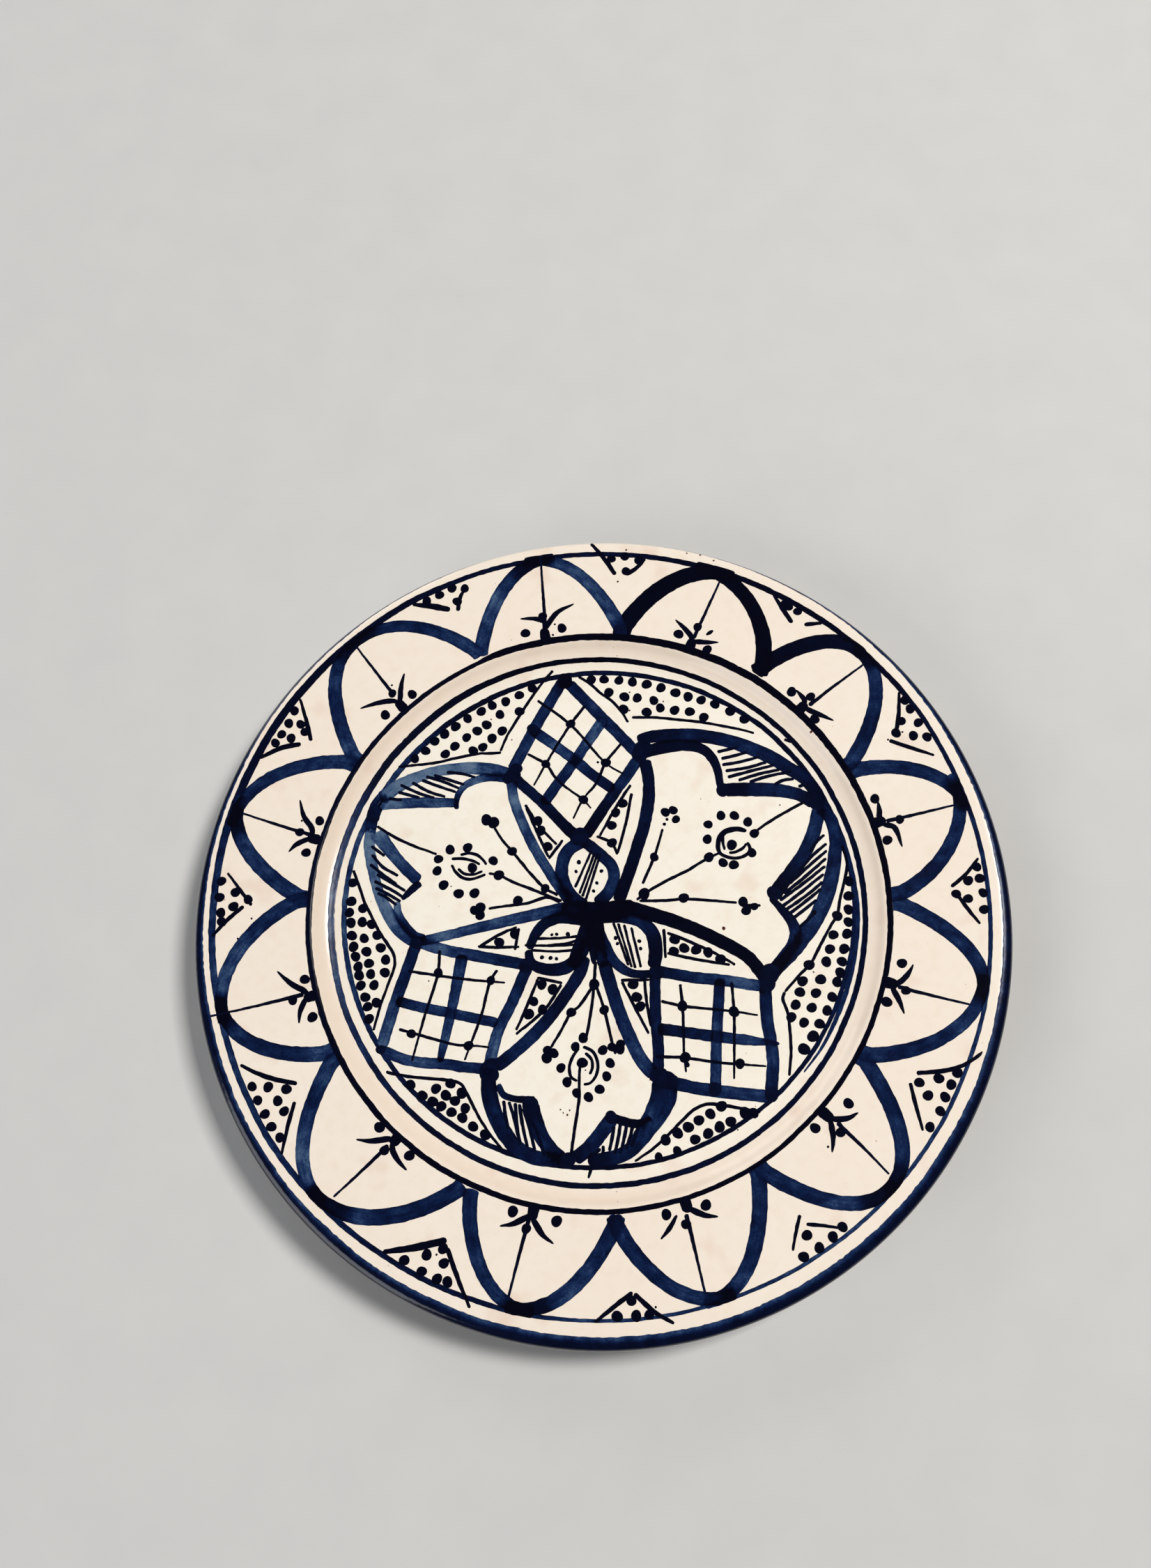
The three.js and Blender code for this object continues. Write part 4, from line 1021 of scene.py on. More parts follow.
def ribbon(stroke, lift, others=(), overlap=OVERLAP_TONE):
    """Vertices, faces, tones and brush places of a stroke laid on the face."""
    wide = 2 * stroke.half.max() > WIDE_FROM
    section, rise = (WIDE_SECTION, WIDE_RISE) if wide else (THIN_SECTION, THIN_RISE)
    run = directions(stroke)
    side = np.stack([-run[:, 1], run[:, 0]], axis=1)
    reach = across_stroke(stroke, section, WIDE_ROUGHNESS if wide else THIN_ROUGHNESS)
    places = (stroke.line[:, None] + side[:, None] * reach[..., None]).reshape(-1, 2)
    count, across = reach.shape
    height = face_height(*places.T) + np.tile(np.where(rise > 0, lift * rise, -SUNK), count)
    tones = np.repeat(stroke.tone, across)
    if wide:
        tones = wide_tones(tones, places, section, others, overlap)
    seeds = np.full(len(places), stroke.seed)
    brush = np.stack([np.repeat(stroke.lengths, across), reach.ravel(), seeds], axis=1)
    vertices = np.column_stack([places, height])
    keep = len(vertices) - across if stroke.closed else len(vertices)
    faces = strip_faces(count, across, stroke.closed)
    return vertices[:keep], faces, np.clip(tones, 0, 1)[:keep], brush[:keep]


DOT_CORNERS = 20
DOT_RINGS = [(0.6, 1.0), (0.86, 0.8), (0.95, 0.4), (1.0, -1.0)]  # (share of the radius, rise)
DOT_SIZES = (0.96, 1.05)


def dot(place, lift, tone=BLACK):
    """Vertices, faces, tones and brush places of a blob of paint, a little out of round."""
    x, y, radius = place if len(place) == 3 else (*place, DOT)
    angles = np.linspace(0, 2 * np.pi, DOT_CORNERS, endpoint=False)
    phase = RANDOM.uniform(0, 2 * np.pi, 2)
    outline = 1 + 0.06 * np.sin(2 * angles + phase[0]) + 0.03 * np.sin(3 * angles + phase[1])
    outline = outline * radius * RANDOM.uniform(*DOT_SIZES)
    places, heights = [np.array([[x, y]])], [np.array([lift])]
    for share, rise in DOT_RINGS:
        ring = outline[:, None] * share * np.stack([np.cos(angles), np.sin(angles)], axis=1)
        places.append(ring + (x, y))
        heights.append(np.full(DOT_CORNERS, lift * rise if rise > 0 else -SUNK))
    flat = np.vstack(places)
    vertices = np.column_stack([flat, face_height(flat[:, 0], flat[:, 1]) + np.concatenate(heights)])
    faces = []
    for i in range(DOT_CORNERS):
        j = (i + 1) % DOT_CORNERS
        faces.append((0, 1 + i, 1 + j))
        for k in range(len(DOT_RINGS) - 1):
            inner, outer = 1 + k * DOT_CORNERS, 1 + (k + 1) * DOT_CORNERS
            faces.append((inner + i, outer + i, outer + j, inner + j))
    seed = RANDOM.uniform(0, 100)
    brush = np.column_stack([flat - (x, y), np.full(len(flat), seed)])
    return vertices, faces, np.full(len(flat), tone), brush


def paint_piece(name, patches, material, slot, replaced=(), domed=False):
    """One piece from several ribbons and dots, shaded as a flat coat unless it is domed."""
    vertices, faces, tones, brush, start = [], [], [], [], 0
    for patch in patches:
        vertices.append(patch[0])
        faces += [tuple(start + corner for corner in face) for face in patch[1]]
        tones.append(patch[2])
        brush.append(patch[3])
        start += len(patch[0])
    places = np.vstack(vertices)
    piece = make_piece(
        name, places, faces, material, slot, replaced, np.concatenate(tones), np.vstack(brush)
    )
    if not domed:
        piece.data.normals_split_custom_set_from_vertices(face_normals(places).tolist())


def rim(points):
    """(degrees clockwise from +Y, radius) to (x, y)."""
    return [(r * math.sin(math.radians(a)), r * math.cos(math.radians(a))) for a, r in points]


# Materials ---------------------------------------------------------------------------------------


def colour(red, green, blue):
    """A display colour from 0 to 255 as the linear colour that shaders take."""
    shares = [c / 255 for c in (red, green, blue)]
    return [s / 12.92 if s <= 0.04045 else ((s + 0.055) / 1.055) ** 2.4 for s in shares] + [1]


class Nodes:
    """A new node material, with a call for each kind of node that this scene uses."""

    def __init__(self, name):
        self.material = bpy.data.materials.new(name)
        self.material.use_nodes = True
        self.tree = self.material.node_tree
        self.shader = self.tree.nodes["Principled BSDF"]

    def feed(self, socket, value):
        if isinstance(value, bpy.types.NodeSocket):
            self.tree.links.new(value, socket)
        else:
            socket.default_value = value

    def add(self, kind, inputs, **settings):
        made = self.tree.nodes.new(kind)
        for key, value in settings.items():
            setattr(made, key, value)
        for key, value in inputs.items():
            self.feed(made.inputs[key], value)
        return made

    def place(self):
        return self.add("ShaderNodeTexCoord", {}).outputs["Object"]

    def attribute(self, name, output):
        return self.add("ShaderNodeAttribute", {}, attribute_name=name).outputs[output]

    def scaled(self, vector, scale):
        return self.add("ShaderNodeMapping", {"Vector": vector, "Scale": scale}).outputs["Vector"]

    def noise(self, vector, scale, detail=3.0, roughness=0.5):
        inputs = {"Vector": vector, "Scale": scale, "Detail": detail, "Roughness": roughness}
        return self.add("ShaderNodeTexNoise", inputs).outputs["Fac"]

    def maths(self, operation, a, b=0.0, clamp=False):
        made = self.add("ShaderNodeMath", {0: a, 1: b}, operation=operation, use_clamp=clamp)
        return made.outputs["Value"]

    def remap(self, value, low, high, to_low=0.0, to_high=1.0):
        source = {"Value": value, "From Min": low, "From Max": high}
        inputs = {**source, "To Min": to_low, "To Max": to_high}
        return self.add("ShaderNodeMapRange", inputs).outputs["Result"]

    def ramp(self, value, stops):
        made = self.add("ShaderNodeValToRGB", {"Fac": value})
        elements = made.color_ramp.elements
        while len(elements) < len(stops):
            elements.new(0.5)
        for element, (position, shade) in zip(elements, stops):
            element.position = position
            element.color = shade
        return made.outputs["Color"]

    def mix(self, factor, a, b):
        made = self.add("ShaderNodeMix", {0: factor, 6: a, 7: b}, data_type="RGBA")
        return made.outputs[2]

    def radius(self):
        """Distance from the plate's axis in metres."""
        flat = self.scaled(self.place(), (1, 1, 0))
        made = self.add("ShaderNodeVectorMath", {0: flat}, operation="LENGTH")
        return made.outputs["Value"]

    def finish(self, shade, roughness, height, strength, distance):
        """Sets what every surface here has: a colour, a roughness and a bump."""
        inputs = {"Height": height, "Strength": strength, "Distance": distance}
        bump = self.add("ShaderNodeBump", inputs).outputs["Normal"]
        self.feed(self.shader.inputs["Base Color"], shade)
        self.feed(self.shader.inputs["Roughness"], roughness)
        self.feed(self.shader.inputs["Normal"], bump)
        return self.material


def glaze_material():
    """Ivory tin glaze: cloudy, with pinpricks, and rosier on the rim and the well's wall."""
    n = Nodes("ivory_glaze")
    place = n.place()
    clouds = n.noise(place, 26.0, 3.0)
    mottle = n.noise(place, 240.0, 4.0, 0.6)
    radius = n.radius()
    ivory = n.mix(clouds, colour(252, 246, 233), colour(249, 241, 226))
    rosy = n.mix(clouds, colour(250, 240, 226), colour(247, 232, 216))
    shade = n.mix(n.remap(radius, 0.094, 0.101), ivory, rosy)
    wall = n.maths("MULTIPLY", n.remap(radius, 0.1, 0.103), n.remap(radius, 0.108, 0.1055))
    shade = n.mix(wall, shade, colour(249, 232, 214))
    shade = n.mix(n.remap(mottle, 0.45, 0.75, 0.0, 0.35), shade, colour(240, 222, 200))
    pinks = n.remap(n.noise(place, 60.0, 2.0), 0.62, 0.8, 0.0, 0.35)
    shade = n.mix(pinks, shade, colour(228, 190, 168))
    pricks = n.add("ShaderNodeTexVoronoi", {"Vector": place, "Scale": 300.0}).outputs["Distance"]
    chance = n.remap(n.noise(place, 90.0, 1.0), 0.62, 0.7)
    prick = n.maths("MULTIPLY", n.remap(pricks, 0.1, 0.05), chance)
    shade = n.mix(prick, shade, colour(176, 140, 112))
    relief = n.maths("ADD", n.noise(place, 70.0, 2.0), n.maths("MULTIPLY", mottle, 0.15))
    relief = n.maths("SUBTRACT", relief, n.maths("MULTIPLY", prick, 0.6))
    roughness = n.remap(mottle, 0.3, 0.7, 0.1, 0.2)
    return n.finish(shade, roughness, relief, 0.25, 0.0004)


def paint_material():
    """Cobalt under a clear glaze: watery blue to black by the tone of the brush work."""
    n = Nodes("cobalt_paint")
    place = n.place()
    brush = n.attribute("brush", "Vector")
    tone = n.attribute("tone", "Fac")
    streaks = n.noise(n.scaled(brush, (0.1, 1.1, 1.0)), 1.0, 3.0, 0.6)
    pools = n.noise(n.scaled(brush, (0.22, 0.32, 1.0)), 1.0, 3.0)
    grain = n.noise(place, 1300.0, 3.0, 0.7)
    streaky = n.remap(streaks, 0.25, 0.75, -0.08, 0.08)
    wander = n.maths("ADD", streaky, n.remap(pools, 0.25, 0.75, -0.16, 0.16))
    wander = n.maths("ADD", wander, n.remap(grain, 0.2, 0.8, -0.13, 0.13))
    free = n.remap(tone, 0.62, 0.97, 1.0, 0.12)
    toned = n.maths("ADD", tone, n.maths("MULTIPLY", wander, free), clamp=True)
    shade = n.ramp(toned, [
        (0.1, colour(93, 114, 141)),
        (0.24, colour(74, 97, 127)),
        (0.37, colour(51, 74, 109)),
        (0.5, colour(28, 49, 88)),
        (0.62, colour(14, 33, 71)),
        (0.74, colour(6, 20, 55)),
        (0.86, colour(3, 9, 36)),
        (1.0, colour(1, 1, 15)),
    ])
    roughness = n.remap(streaks, 0.2, 0.8, 0.1, 0.18)
    ripples = n.noise(place, 260.0, 2.0)
    return n.finish(shade, roughness, ripples, 0.2, 0.0003)


def fleck_material():
    """Iron flecks that bled through the glaze."""
    n = Nodes("iron_fleck")
    grain = n.noise(n.place(), 1800.0, 3.0)
    shade = n.mix(grain, colour(84, 34, 26), colour(46, 16, 14))
    return n.finish(shade, n.remap(grain, 0.2, 0.8, 0.2, 0.35), grain, 0.2, 0.0001)


def clay_material():
    """Bare earthenware: sandy, with pores, paler grog and darker turning lines."""
    n = Nodes("bare_clay")
    place = n.place()
    sand = n.noise(place, 1400.0, 5.0, 0.7)
    patches = n.noise(place, 60.0, 3.0)
    shade = n.mix(patches, colour(190, 132, 96), colour(164, 106, 74))
    shade = n.mix(n.remap(sand, 0.5, 0.75, 0.0, 0.7), shade, colour(212, 168, 134))
    pores = n.add("ShaderNodeTexVoronoi", {"Vector": place, "Scale": 900.0}).outputs["Distance"]
    pore = n.remap(pores, 0.2, 0.08)
    shade = n.mix(n.maths("MULTIPLY", pore, 0.7), shade, colour(104, 62, 44))
    turning = n.add("ShaderNodeMath", {0: n.maths("MULTIPLY", n.radius(), 5200.0)}, operation="SINE")
    relief = n.maths("ADD", sand, n.maths("MULTIPLY", turning.outputs["Value"], 0.25))
    relief = n.maths("SUBTRACT", relief, pore)
    return n.finish(shade, n.remap(sand, 0.2, 0.8, 0.78, 0.95), relief, 0.5, 0.0003)


def floor_material():
    n = Nodes("pale_floor")
    grain = n.noise(n.place(), 40.0, 4.0)
    shade = n.mix(grain, colour(214, 214, 212), colour(206, 206, 205))
    return n.finish(shade, 0.75, grain, 0.05, 0.001)

GLAZE = glaze_material()
PAINT = paint_material()
FLECK = fleck_material()
CLAY = clay_material()

# The fired body ----------------------------------------------------------------------------------

FACE_SEGMENTS = 480
BACK_SEGMENTS = 360
BODY_SEGMENTS = 180
BASE_GLAZE_THICKNESS = 0.5
BASE_POOL = [(40, 0.05), (BASE_R - 4.8, 0.0), (BASE_R - 1.4, -0.25), (BASE_R + 0.2, -1.1)]


def turned(name, profile, segments, material, slot, closes=False):
    """A turned piece of the body, which replaces the CAD node of the same name."""
    make_piece(name, *revolve(profile, segments, closes), material, slot, [name])


def make_body():
    face = resample(FACE_CURVE, 0.55, 2.6)
    back = resample(BACK_CURVE, 0.8, 3.5)
    face_under = offset(face, -GLAZE_THICKNESS)
    back_under = offset(back, -GLAZE_THICKNESS)
    face_under[-1] = back_under[0] = (face_under[-1] + back_under[0]) / 2
    shell = np.vstack([face, face_under[::-1]])
    turned("face_glaze", shell[::-1], FACE_SEGMENTS, GLAZE, "glaze")
    shell = np.vstack([back, back_under[::-1]])
    turned("back_glaze", shell[::-1], BACK_SEGMENTS, GLAZE, "glaze", closes=True)
    underside = np.array([(FOOT_OUTER_R, FOOT_TOP_Z), (BASE_R, FOOT_TOP_Z), (0, FOOT_TOP_Z)])
    body = np.vstack([face_under[::2], back_under[1::2], underside])
    turned("clay_body", body[::-1], BODY_SEGMENTS, CLAY, "clay")


def make_foot():
    ring = hermite(FOOT_PROFILE, 5)
    ring[:, 1] = np.maximum(ring[:, 1], 0)
    turned("foot_ring", ring[::-1], BACK_SEGMENTS, CLAY, "clay", closes=True)


def make_base_glaze():
    """The glaze inside the foot, pooled a little deeper where it meets the ring."""
    low = FOOT_TOP_Z - BASE_GLAZE_THICKNESS
    under = hermite([(0, low)] + [(r, low + rise) for r, rise in BASE_POOL], 8)
    top = np.array([(under[-1, 0], FOOT_TOP_Z), (0, FOOT_TOP_Z)])
    turned("base_glaze", np.vstack([under, top]), BACK_SEGMENTS, GLAZE, "glaze")


# The painted rings -------------------------------------------------------------------------------

RING_STEPS = 900
RING_WOBBLE = 0.07
RING_MEETING = 8.0  # degrees from the top over which the wobble fades, so that the ring meets itself
RINGS = {
    "rim_line": (RIM_LINE, 0.015, "cobalt_paint"),
    "shoulder_line": (SHOULDER_LINE, 0.034, "black_paint"),
    "well_line_outer": (WELL_LINE_OUTER, 0.032, "black_paint"),
    "well_line_inner": (WELL_LINE_INNER, 0.015, "cobalt_paint"),
}
OVERSHOOT_LIFT = 0.018


def ring_stroke(rows):
    """A closed stroke round the plate from (degrees, radius, width, tone) rows."""
    table = np.array(rows, float)
    degrees = np.linspace(0, 360, RING_STEPS + 1)
    radius, width, tone = (
        np.interp(degrees, table[:, 0], table[:, i], period=360) for i in (1, 2, 3)
    )
    wobble = soft_noise(RING_STEPS + 1, 14) * RING_WOBBLE
    radius = radius + wobble * np.minimum(1, np.minimum(degrees, 360 - degrees) / RING_MEETING)
    line = rim(list(zip(degrees, radius)))
    return Stroke((tuple(width), tuple(tone), line), closed=True)


def make_rings():
    """The painted rings, shaded as domed lines. Returns the stroke that the petals reach."""
    strokes = {}
    for name, (rows, lift, slot) in RINGS.items():
        strokes[name] = ring_stroke(rows)
        patches = [ribbon(strokes[name], lift)]
        if name == "well_line_inner":
            width, tone, points = WELL_LINE_OVERSHOOT
            patches.append(ribbon(Stroke((width, tone, rim(points))), OVERSHOOT_LIFT))
        paint_piece(name, patches, PAINT, slot, [name], domed=True)
    return [strokes["rim_line"]]


LIP_STEPS = 720
LIP_ACROSS = 30
LIP_LIFT = 0.05
LIP_FACE_FROM_R = 143.0
LIP_BACK_FROM_R = 144.5
LIP_FACE_DEPTH = 3.0
LIP_WATERY_WIDTH = 1.3
LIP_RAGGEDNESS = {1: 0.09, 9: 0.08}  # smoothness of the noise: its spread in millimetres


def lip_profile():
    """Points every tenth of a millimetre over the lip, from the face to the back."""
    start = FACE_CURVE[FACE_CURVE[:, 0] > LIP_FACE_FROM_R]
    end = BACK_CURVE[BACK_CURVE[:, 0] > LIP_BACK_FROM_R]
    lip = np.vstack([start, end[1:]])
    return at_lengths(lip, np.arange(0, lengths_along(lip)[-1], DENSE_STEP))


def lip_edge(degrees):
    """Radius of the band's ragged inner edge in each direction."""
    table = np.array(LIP_BAND_EDGE, float)
    edge = np.interp(degrees, table[:, 0], table[:, 1], period=360)
    for smoothness, spread_mm in LIP_RAGGEDNESS.items():
        edge = edge + soft_noise(len(degrees), smoothness) * spread_mm
    return edge


def make_lip_band():
    """The band over the lip, from its ragged edge on the face to its edge on the back."""
    lip = lip_profile()
    lengths = lengths_along(lip)
    normals = offset(lip, 1.0) - lip
    face_count = (lip[:, 1] >= CREST_Z - LIP_FACE_DEPTH).argmin()
    shares = np.linspace(0, 1, LIP_ACROSS) ** 1.5
    lifts = LIP_LIFT * np.minimum(1, np.minimum(shares, 1 - shares) * 40) - SUNK * (shares % 1 == 0)
    degrees = np.linspace(0, 360, LIP_STEPS, endpoint=False)
    rows, tones, brush = [], [], []
    for degree, inner in zip(degrees, lip_edge(degrees)):
        angle = math.radians(90 - degree)
        reach = lip_reach(angle) * smoothstep(lip[:, 0], LIP_WARP_START_R, LIP_WARP_END_R)
        first = np.interp(inner, (lip[:, 0] + reach)[:face_count], lengths[:face_count])
        along = shares * (lengths[-1] - first)
        r, z = (np.interp(first + along, lengths, lip[:, i]) for i in (0, 1))
        out_r, out_z = (np.interp(first + along, lengths, normals[:, i]) for i in (0, 1))
        rows.append(body_place(r + out_r * lifts, z + out_z * lifts, angle))
        watery = 0.36 * smoothstep(along, 0.2, LIP_WATERY_WIDTH) + 0.06 * smoothstep(along, 2, 5)
        tones.append(0.5 + watery)
        round_lip = np.full(LIP_ACROSS, 2 * np.pi * LIP_WARP_END_R * degree / 360)
        brush.append(np.column_stack([round_lip, along, np.zeros(LIP_ACROSS)]))
    vertices, values, places = np.vstack(rows), np.concatenate(tones), np.vstack(brush)
    faces = band_faces(LIP_STEPS, LIP_ACROSS)
    make_piece("lip_band", vertices, faces, PAINT, "cobalt_paint", ["lip_band"], values, places)


def band_faces(steps, across):
    """Faces of a closed band of cross sections, which face outwards."""
    index = np.arange(steps * across).reshape(steps, across)
    after = np.roll(index, -1, axis=0)
    faces = np.stack([index[:, :-1], index[:, 1:], after[:, 1:], after[:, :-1]], axis=-1)
    return faces.reshape(-1, 4)[:, ::-1].tolist()


# The rim's decoration ----------------------------------------------------------------------------

PETAL_LIFTS = (0.018, 0.024)
NEIGHBOUR_LIFT = 0.003
PETAL_OVERLAP = 0.17
MARK_LIFT = 0.04
DOT_LIFT = 0.048
LEAF_REACH = 1.7
PETAL_POINTS = 14
PETAL_ROUNDNESS = 0.4
TIP_OVERRUN = 1.4
TIP_SOFTNESS = 1.5
TIP_TONE = 0.9


def petal_stroke(row, widths, darkest):
    """One side of a petal from its foot by the shoulder, up to its tip and a little past it."""
    foot, end_radius, tip, fullness, boldness, tones = row
    shares = np.linspace(0, 1, PETAL_POINTS) ** 1.5
    rise = (PETAL_TOP_R - PETAL_BASE_R) * np.sin(np.pi / 2 * shares) ** fullness
    places = list(zip(foot + (tip - foot) * shares, PETAL_BASE_R + rise))
    places[0] = (foot, end_radius)
    places.append((tip + math.copysign(TIP_OVERRUN, tip - foot), PETAL_TOP_R))
    widths = tuple(boldness * width for width in widths)
    stroke = Stroke((widths, tones, rim(places)), roundness=PETAL_ROUNDNESS)
    low, high = darkest
    middle = (low + high) / 2
    degrees = np.degrees(np.arctan2(stroke.line[:, 0], stroke.line[:, 1]))
    away = np.abs((degrees - middle + 180) % 360 - 180)
    reach = (high - low) / 2
    dark = 1 - smoothstep(away, reach - TIP_SOFTNESS / 2, reach + TIP_SOFTNESS)
    stroke.tone = stroke.tone + np.maximum(TIP_TONE - stroke.tone, 0) * dark
    return stroke


def make_petals(rings):
    """The petals of the rim, a little darker where they cross each other or the rings."""
    pairs = []
    for left, right, darkest in RIM_PETALS:
        pairs.append([
            petal_stroke(left, LEFT_WIDTHS, darkest),
            petal_stroke(right, RIGHT_WIDTHS, darkest),
        ])
    for i, pair in enumerate(pairs):
        beside = pairs[i - 1] + pairs[(i + 1) % len(pairs)] + rings
        patches = []
        for side, lift in enumerate(PETAL_LIFTS):
            others = [pair[1 - side]] + beside
            lift = lift + NEIGHBOUR_LIFT * (i % 2)
            patches.append(ribbon(pair[side], lift, others, PETAL_OVERLAP))
        name = f"rim_petal_{i + 1:02d}"
        paint_piece(name, patches, PAINT, "cobalt_paint", [name])


ROOT_WIDTHS = (4.6, 3.9, 3.6)
ROOT_START_R = 107.6
STEM_WIDTHS = (1.6, 1.25, 0.95, 0.75)
LEAF_WIDTHS = (1.6, 2.2, 2.1, 1.4, 0.5)
LOOSE_LEAF_WIDTHS = (0.8, 1.8, 0.6)
KNOB_R = 1.75
SPRIG_DOT_R = 1.9
SPRIG_SPECK_R = 0.45


def sprig(row):
    """A stem with leaves that grows from a root on the shoulder line, and dots."""
    base, stem, knob, leaves, dots, specks = row
    angle, height = base
    root = [(angle, ROOT_START_R), (angle, (ROOT_START_R + height) / 2), (angle, height + 1.6)]
    patches = [
        ribbon(Stroke((ROOT_WIDTHS, BLACK, rim(root))), MARK_LIFT),
        ribbon(Stroke((STEM_WIDTHS, (0.94, 0.94, 0.84), rim(stem))), MARK_LIFT + 0.002),
    ]
    for leaf in leaves:
        joined = abs(leaf[0][0] - angle) < LEAF_REACH
        line = [base, *leaf] if joined else leaf
        widths = LEAF_WIDTHS if joined else LOOSE_LEAF_WIDTHS
        patches.append(ribbon(Stroke((widths, 0.96, rim(line))), MARK_LIFT + 0.004))
    blobs = [(knob, KNOB_R)] + [(place, SPRIG_DOT_R) for place in dots]
    blobs += [(place, SPRIG_SPECK_R) for place in specks]
    for place, radius in blobs:
        patches.append(dot((*rim([place])[0], radius), DOT_LIFT))
    return patches


SPANDREL_WIDTHS = (0.9, 1.3, 1.55, 1.3)
SPANDREL_DOT_R = 1.84
SPANDREL_SPECK_R = 0.4


def spandrel(row):
    """Two converging lines with dots between them, between two petals."""
    lines, dots, specks = row
    patches = []
    for boldness, line in lines:
        widths = tuple(boldness * width for width in SPANDREL_WIDTHS)
        patches.append(ribbon(Stroke((widths, BLACK, rim(line))), MARK_LIFT))
    blobs = [(place, SPANDREL_DOT_R) for place in dots]
    blobs += [(place, SPANDREL_SPECK_R) for place in specks]
    for place, radius in blobs:
        patches.append(dot((*rim([place])[0], radius), DOT_LIFT))
    return patches


def make_rim_marks():
    patches = [patch for row in SPRIGS for patch in sprig(row)]
    paint_piece("rim_sprigs", patches, PAINT, "black_paint")
    patches = [patch for row in SPANDRELS for patch in spandrel(row)]
    paint_piece("rim_spandrels", patches, PAINT, "black_paint")


# The well's decoration ---------------------------------------------------------------------------

MOTIF_LIFT = 0.018
MOTIF_ROUNDNESS = 0.6
JOINT_LIFT = 0.0445
JOINT_LIFT_STEP = 0.0005
JOINT_LIFTS = 8
JOINT_TONE = 0.88
LAYER_LIFT = 0.0009
FIRST_LAYERS = {"check_panel": 0, "tulip": 7, "bud": 17, "centre_knot": 20}


def make_motifs():
    """The wide brush work of the well. Each stroke is darker where it crosses another."""
    groups = {**CHECK_PANELS, **TULIPS, **BUDS, "centre_knot": CENTRE_KNOT}
    strokes = {
        name: [Stroke(row, roundness=MOTIF_ROUNDNESS) for row in rows] for name, rows in groups.items()
    }
    everything = [stroke for group in strokes.values() for stroke in group]
    joints = 0
    for name, group in strokes.items():
        layer = next(first for start, first in FIRST_LAYERS.items() if name.startswith(start))
        patches = []
        for i, stroke in enumerate(group):
            others = [other for other in everything if other is not stroke]
            patches.append(ribbon(stroke, MOTIF_LIFT + LAYER_LIFT * (layer + i), others))
        for place in JOINTS.get(name, ()):
            lift = JOINT_LIFT + JOINT_LIFT_STEP * (joints % JOINT_LIFTS)
            patches.append(dot(place, lift, JOINT_TONE))
            joints += 1
        slot = "black_paint" if name == "centre_knot" else "cobalt_paint"
        paint_piece(name, patches, PAINT, slot, [name])


FINE_LIFT = 0.05
FINE_DOT_LIFT = 0.055
FLECK_LIFT = 0.03
FINE_WIDTHS = (1.1, 1.2, 1.15, 0.95)
GRID_WIDTHS = (1.1, 1.15, 1.0, 0.7)
STRIPE_WIDTH = 1.0
HATCH_WIDTHS = (1.3, 1.3, 1.1)
HATCH_TONE = 0.92


def fine_marks(lines, dots, widths=FINE_WIDTHS):
    """Fine lines, and dots as (x, y) or (x, y, radius)."""
    patches = [ribbon(Stroke((widths, BLACK, line)), FINE_LIFT) for line in lines]
    return patches + [dot(place, FINE_DOT_LIFT) for place in dots]


def make_fine_work():
    for name, (lines, dots) in PANEL_GRIDS.items():
        patches = fine_marks(lines, dots, GRID_WIDTHS)
        paint_piece(f"{name}_grid", patches, PAINT, "black_paint")
    for name, (lines, dots) in BUD_STRIPES.items():
        patches = fine_marks(lines, dots, STRIPE_WIDTH)
        paint_piece(f"{name}_stripes", patches, PAINT, "black_paint")
    for name, lines in TULIP_HATCHES.items():
        patches = [ribbon(Stroke((HATCH_WIDTHS, HATCH_TONE, line)), FINE_LIFT) for line in lines]
        paint_piece(f"{name}_hatching", patches, PAINT, "black_paint")
    for name, lines in TULIP_LINES.items():
        patches = fine_marks(lines, TULIP_DOTS[name])
        if name == "tulip_b":
            patches.append(ribbon(Stroke(CRESCENT), FINE_LIFT))
        paint_piece(f"{name}_flower", patches, PAINT, "black_paint")
    patches = [patch for lines, dots in TRIANGLES for patch in fine_marks(lines, dots)]
    paint_piece("well_triangles", patches, PAINT, "black_paint")
    for i, (lines, dots) in enumerate(DOTTED_FIELDS):
        paint_piece(f"dotted_field_{i + 1}", fine_marks(lines, dots), PAINT, "black_paint")


def make_strays():
    patches = [ribbon(Stroke((width, BLACK, points)), FINE_LIFT) for width, points in STRAY_TOUCHES]
    paint_piece("stray_touches", patches, PAINT, "black_paint")
    patches = [dot(place, FLECK_LIFT) for place in FLECKS]
    paint_piece("iron_flecks", patches, FLECK, "glaze")


make_body()
make_foot()
make_base_glaze()
rim_rings = make_rings()
make_lip_band()
make_petals(rim_rings)
make_rim_marks()
make_motifs()
make_fine_work()
make_strays()

# Floor, light and camera -------------------------------------------------------------------------

FLOOR_HALF_SIZE = 3.0
KEY_DIRECTION = (0.47, 0.2, 0.86)
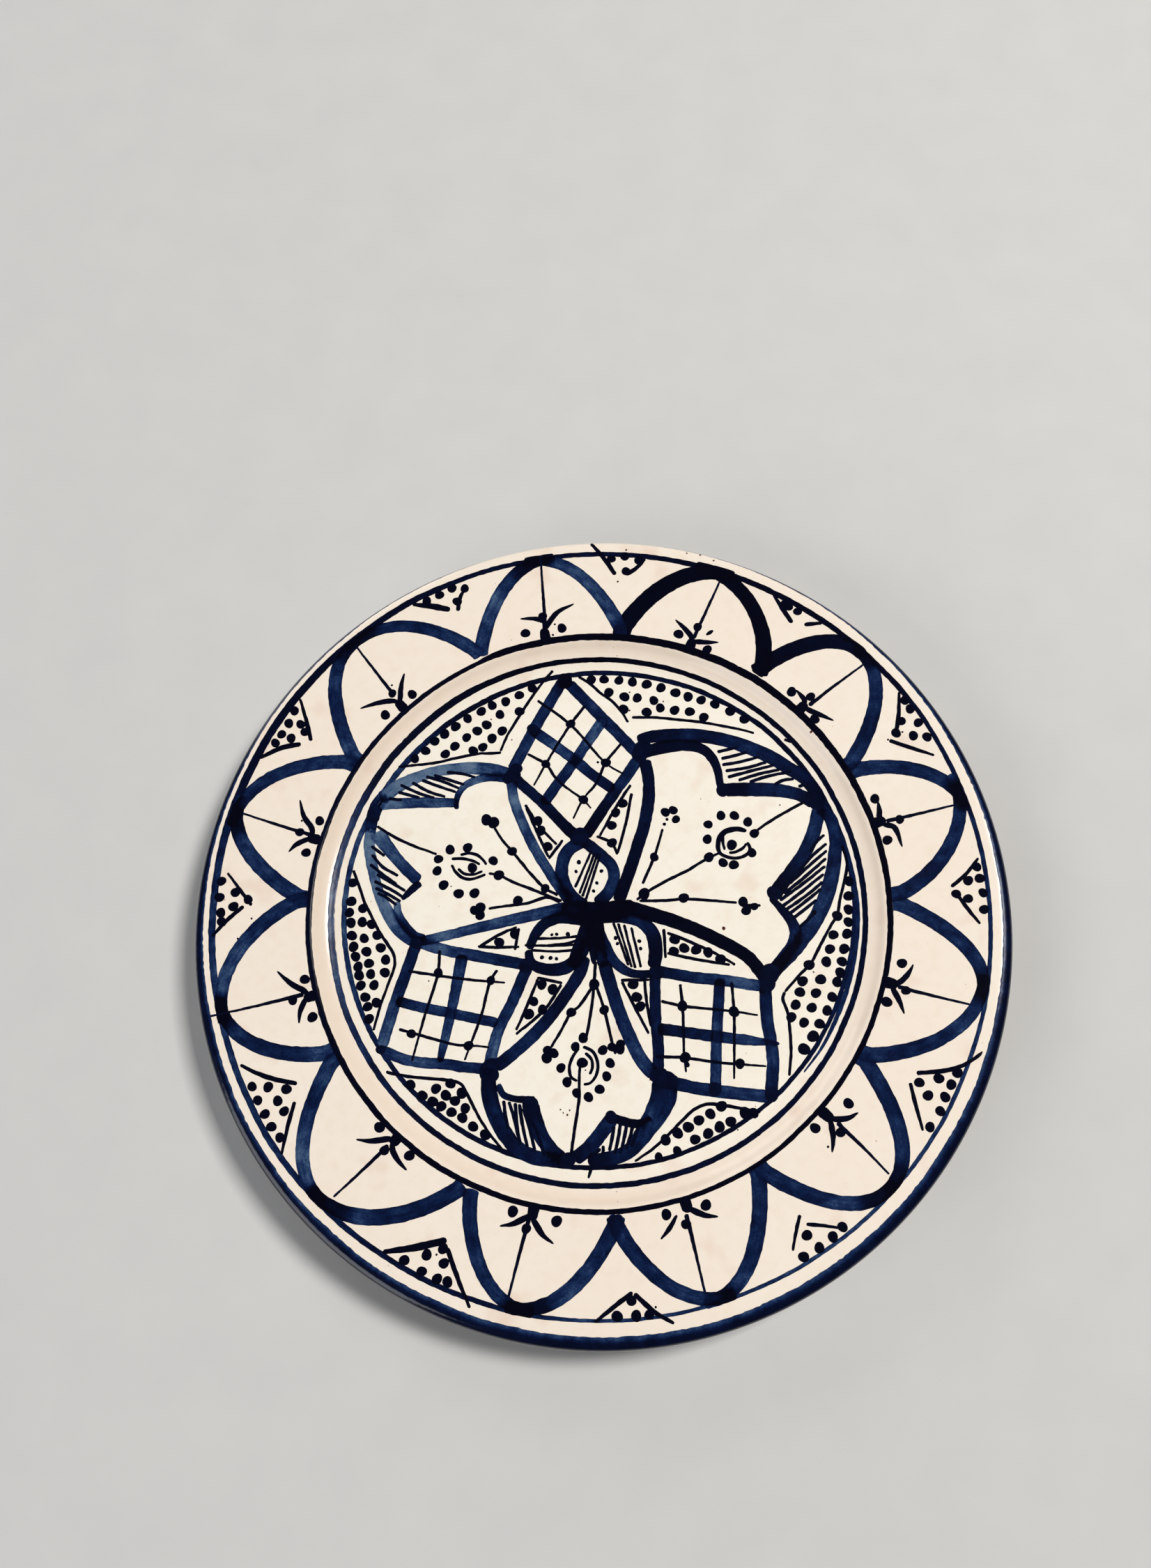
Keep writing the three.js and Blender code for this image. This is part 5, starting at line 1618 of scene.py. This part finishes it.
# Lights as (direction from the plate, distance, size, watts, tint). The broad key light isn't seen
# in the glaze: a small lamp at its place makes the glints there.
LIGHTS = {
    "key_light": (KEY_DIRECTION, 2.6, 0.62, 58.0, (1.0, 0.97, 0.93)),
    "glint_light": (KEY_DIRECTION, 2.6, 0.3, 17.0, (1.0, 0.98, 0.96)),
    "fill_light": ((-0.75, -0.6, 0.45), 2.2, 1.6, 20.5, (0.95, 0.97, 1.0)),
    "back_light": ((-0.6, 0.8, 0.4), 2.4, 1.4, 13.0, (0.95, 0.97, 1.0)),
}
SKY_STRENGTH = 0.07


def make_floor():
    corners = [(-1, -1, 0), (1, -1, 0), (1, 1, 0), (-1, 1, 0)]
    mesh = bpy.data.meshes.new("floor")
    mesh.from_pydata([[c * FLOOR_HALF_SIZE for c in corner] for corner in corners], [], [(0, 1, 2, 3)])
    mesh.materials.append(floor_material())
    floor = bpy.data.objects.new("floor", mesh)
    bpy.context.scene.collection.objects.link(floor)


def add_light(name, direction, distance, size, watts, tint):
    """A square light that faces the plate."""
    lamp = bpy.data.lights.new(name, "AREA")
    lamp.size = size
    lamp.energy = watts
    lamp.color = tint
    light = bpy.data.objects.new(name, lamp)
    towards = np.array(direction, float) / np.linalg.norm(direction)
    light.location = (towards * distance).tolist()
    light.rotation_euler = light.location.to_track_quat("Z", "Y").to_euler()
    bpy.context.scene.collection.objects.link(light)
    return light


def make_lights():
    lights = {name: add_light(name, *row) for name, row in LIGHTS.items()}
    lights["key_light"].visible_glossy = False
    lights["glint_light"].visible_diffuse = False
    world = bpy.data.worlds.new("studio")
    world.use_nodes = True
    sky = world.node_tree.nodes["Background"]
    sky.inputs["Color"].default_value = colour(206, 212, 222)
    sky.inputs["Strength"].default_value = SKY_STRENGTH
    bpy.context.scene.world = world


def make_camera():
    """The camera looks into the well from above its lower edge."""
    right = (0.9987, 0.0150, -0.0493)
    up = (0.0, 0.9568, 0.2908)
    back = (0.0516, -0.2904, 0.9555)
    place = (0.0179, -0.0995, 0.5023)
    lens = bpy.data.cameras.new("camera")
    lens.sensor_width = 36.0
    lens.lens = 30.4
    lens.clip_start = 0.01
    camera = bpy.data.objects.new("camera", lens)
    turn = Matrix((right, up, back)).transposed().to_4x4()
    camera.matrix_world = Matrix.Translation(place) @ turn
    bpy.context.scene.collection.objects.link(camera)
    bpy.context.scene.camera = camera


make_floor()
make_lights()
make_camera()
bpy.context.scene.view_settings.view_transform = "Standard"
